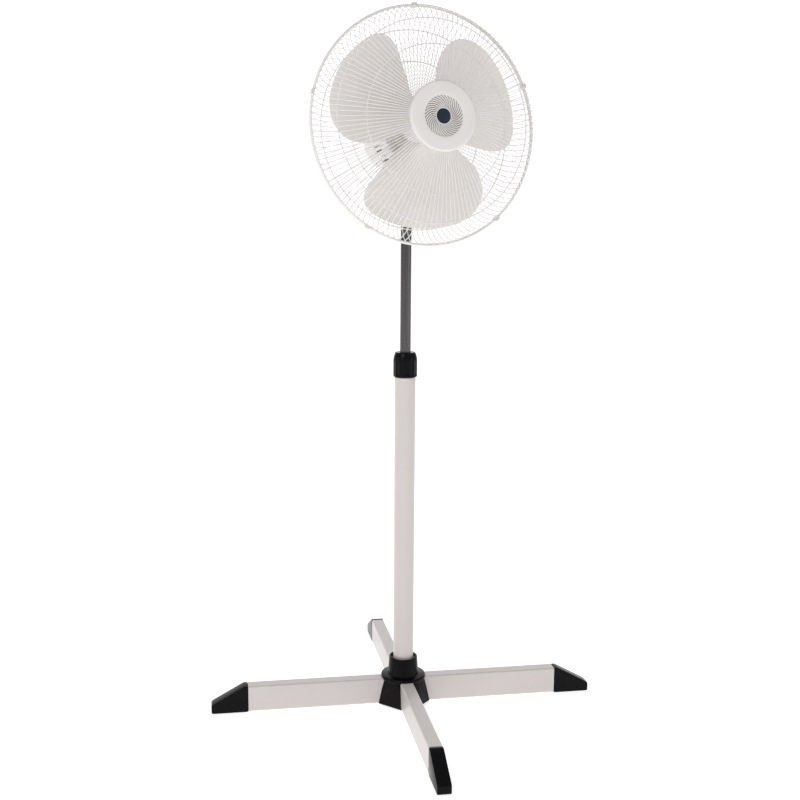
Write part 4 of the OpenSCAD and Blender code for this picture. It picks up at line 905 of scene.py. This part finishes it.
class FAN_OT_stage(bpy.types.Operator):
    """Sets the floor, the lights and the camera"""

    bl_idname = "fan.stage"
    bl_label = "Stage"

    def execute(self, context):
        scene, stage = context.scene, context.scene.fan_stage
        self.floor(scene)
        world = bpy.data.worlds.new("surroundings")
        world.use_nodes = True
        back = world.node_tree.nodes["Background"]
        back.inputs["Color"].default_value = (1.0, 1.0, 1.0, 1.0)
        back.inputs["Strength"].default_value = stage.sky
        scene.world = world
        scene.view_settings.view_transform = "Standard"
        middle = Vector((0.0, 0.0, 0.65))
        self.light("key", (-1.7, -1.9, 2.3), middle, 1.6, stage.key)
        self.light("fill", (2.2, -1.4, 1.2), middle, 1.8, stage.fill)
        camera = bpy.data.objects.new("camera", bpy.data.cameras.new("camera"))
        camera.location = stage.eye
        camera.rotation_euler = (math.pi / 2 - stage.pitch, 0.0, stage.turn)
        camera.data.lens = stage.lens
        camera.data.shift_x = stage.shift
        camera.data.clip_end = 100
        scene.collection.objects.link(camera)
        scene.camera = camera
        return {"FINISHED"}

    def floor(self, scene):
        """A floor that curves up into a backdrop far behind."""
        half, back, rise = 14.0, 9.0, 3.0
        line = [(-half, 0.0)] + [(back + rise * math.sin(a), rise - rise * math.cos(a)) for a in
                                 [math.pi / 2 * k / 16 for k in range(17)]] + [(back + rise, 14.0)]
        verts = [(x, y, z - 0.0002) for x in (-half, half) for y, z in line]
        n = len(line)
        mesh = new_mesh("floor", verts, [[k, k + 1, n + k + 1, n + k] for k in range(n - 1)])
        mesh.shade_smooth()
        backdrop = finish_material("stage_floor", scene.fan_colours.floor, 0.6, spread=0.004, scale=2.0, bump=0.0)
        shader = next(n for n in backdrop.node_tree.nodes if n.type == "BSDF_PRINCIPLED")
        shader.inputs["Emission Color"].default_value = (1.0, 1.0, 1.0, 1.0)
        shader.inputs["Emission Strength"].default_value = scene.fan_stage.backdrop
        mesh.materials.append(backdrop)
        obj = bpy.data.objects.new("floor", mesh)
        scene.collection.objects.link(obj)

    def light(self, name, place, target, size, power):
        """A round area light aimed at a point."""
        lamp = bpy.data.lights.new(name, "AREA")
        lamp.shape = "DISK"
        lamp.size = size
        lamp.energy = power
        obj = bpy.data.objects.new(name, lamp)
        obj.location = place
        obj.rotation_euler = (target - Vector(place)).to_track_quat("-Z", "Y").to_euler()
        bpy.context.scene.collection.objects.link(obj)


class FAN_PT_panel(bpy.types.Panel):
    """The fan's buttons and settings"""

    bl_label = "Pedestal fan"
    bl_idname = "FAN_PT_panel"
    bl_space_type = "VIEW_3D"
    bl_region_type = "UI"
    bl_category = "Fan"

    def draw(self, context):
        layout = self.layout
        for operator in OPERATORS:
            layout.operator(operator.bl_idname)
        for settings in (context.scene.fan_sizes, context.scene.fan_colours, context.scene.fan_stage):
            box = layout.box()
            for name in settings.__annotations__:
                box.prop(settings, name)


OPERATORS = (FAN_OT_legs, FAN_OT_base_cover, FAN_OT_pole, FAN_OT_housing, FAN_OT_motor, FAN_OT_guards, FAN_OT_disc,
             FAN_OT_blade, FAN_OT_stage)
CLASSES = (FanSizes, FanColours, FanStage) + OPERATORS + (FAN_PT_panel,)


def register():
    """Adds the classes and the scene's settings."""
    for cls in CLASSES:
        bpy.utils.register_class(cls)
    bpy.types.Scene.fan_sizes = bpy.props.PointerProperty(type=FanSizes)
    bpy.types.Scene.fan_colours = bpy.props.PointerProperty(type=FanColours)
    bpy.types.Scene.fan_stage = bpy.props.PointerProperty(type=FanStage)


def unregister():
    """Removes the settings and the classes."""
    del bpy.types.Scene.fan_sizes, bpy.types.Scene.fan_colours, bpy.types.Scene.fan_stage
    for cls in reversed(CLASSES):
        bpy.utils.unregister_class(cls)


def main():
    """Builds the whole scene."""
    register()
    bpy.ops.fan.legs()
    bpy.ops.fan.base_cover()
    bpy.ops.fan.pole()
    bpy.ops.fan.housing()
    bpy.ops.fan.motor()
    bpy.ops.fan.guards()
    bpy.ops.fan.disc()
    bpy.ops.fan.blade()
    bpy.ops.fan.stage()


if __name__ == "__main__":
    main()
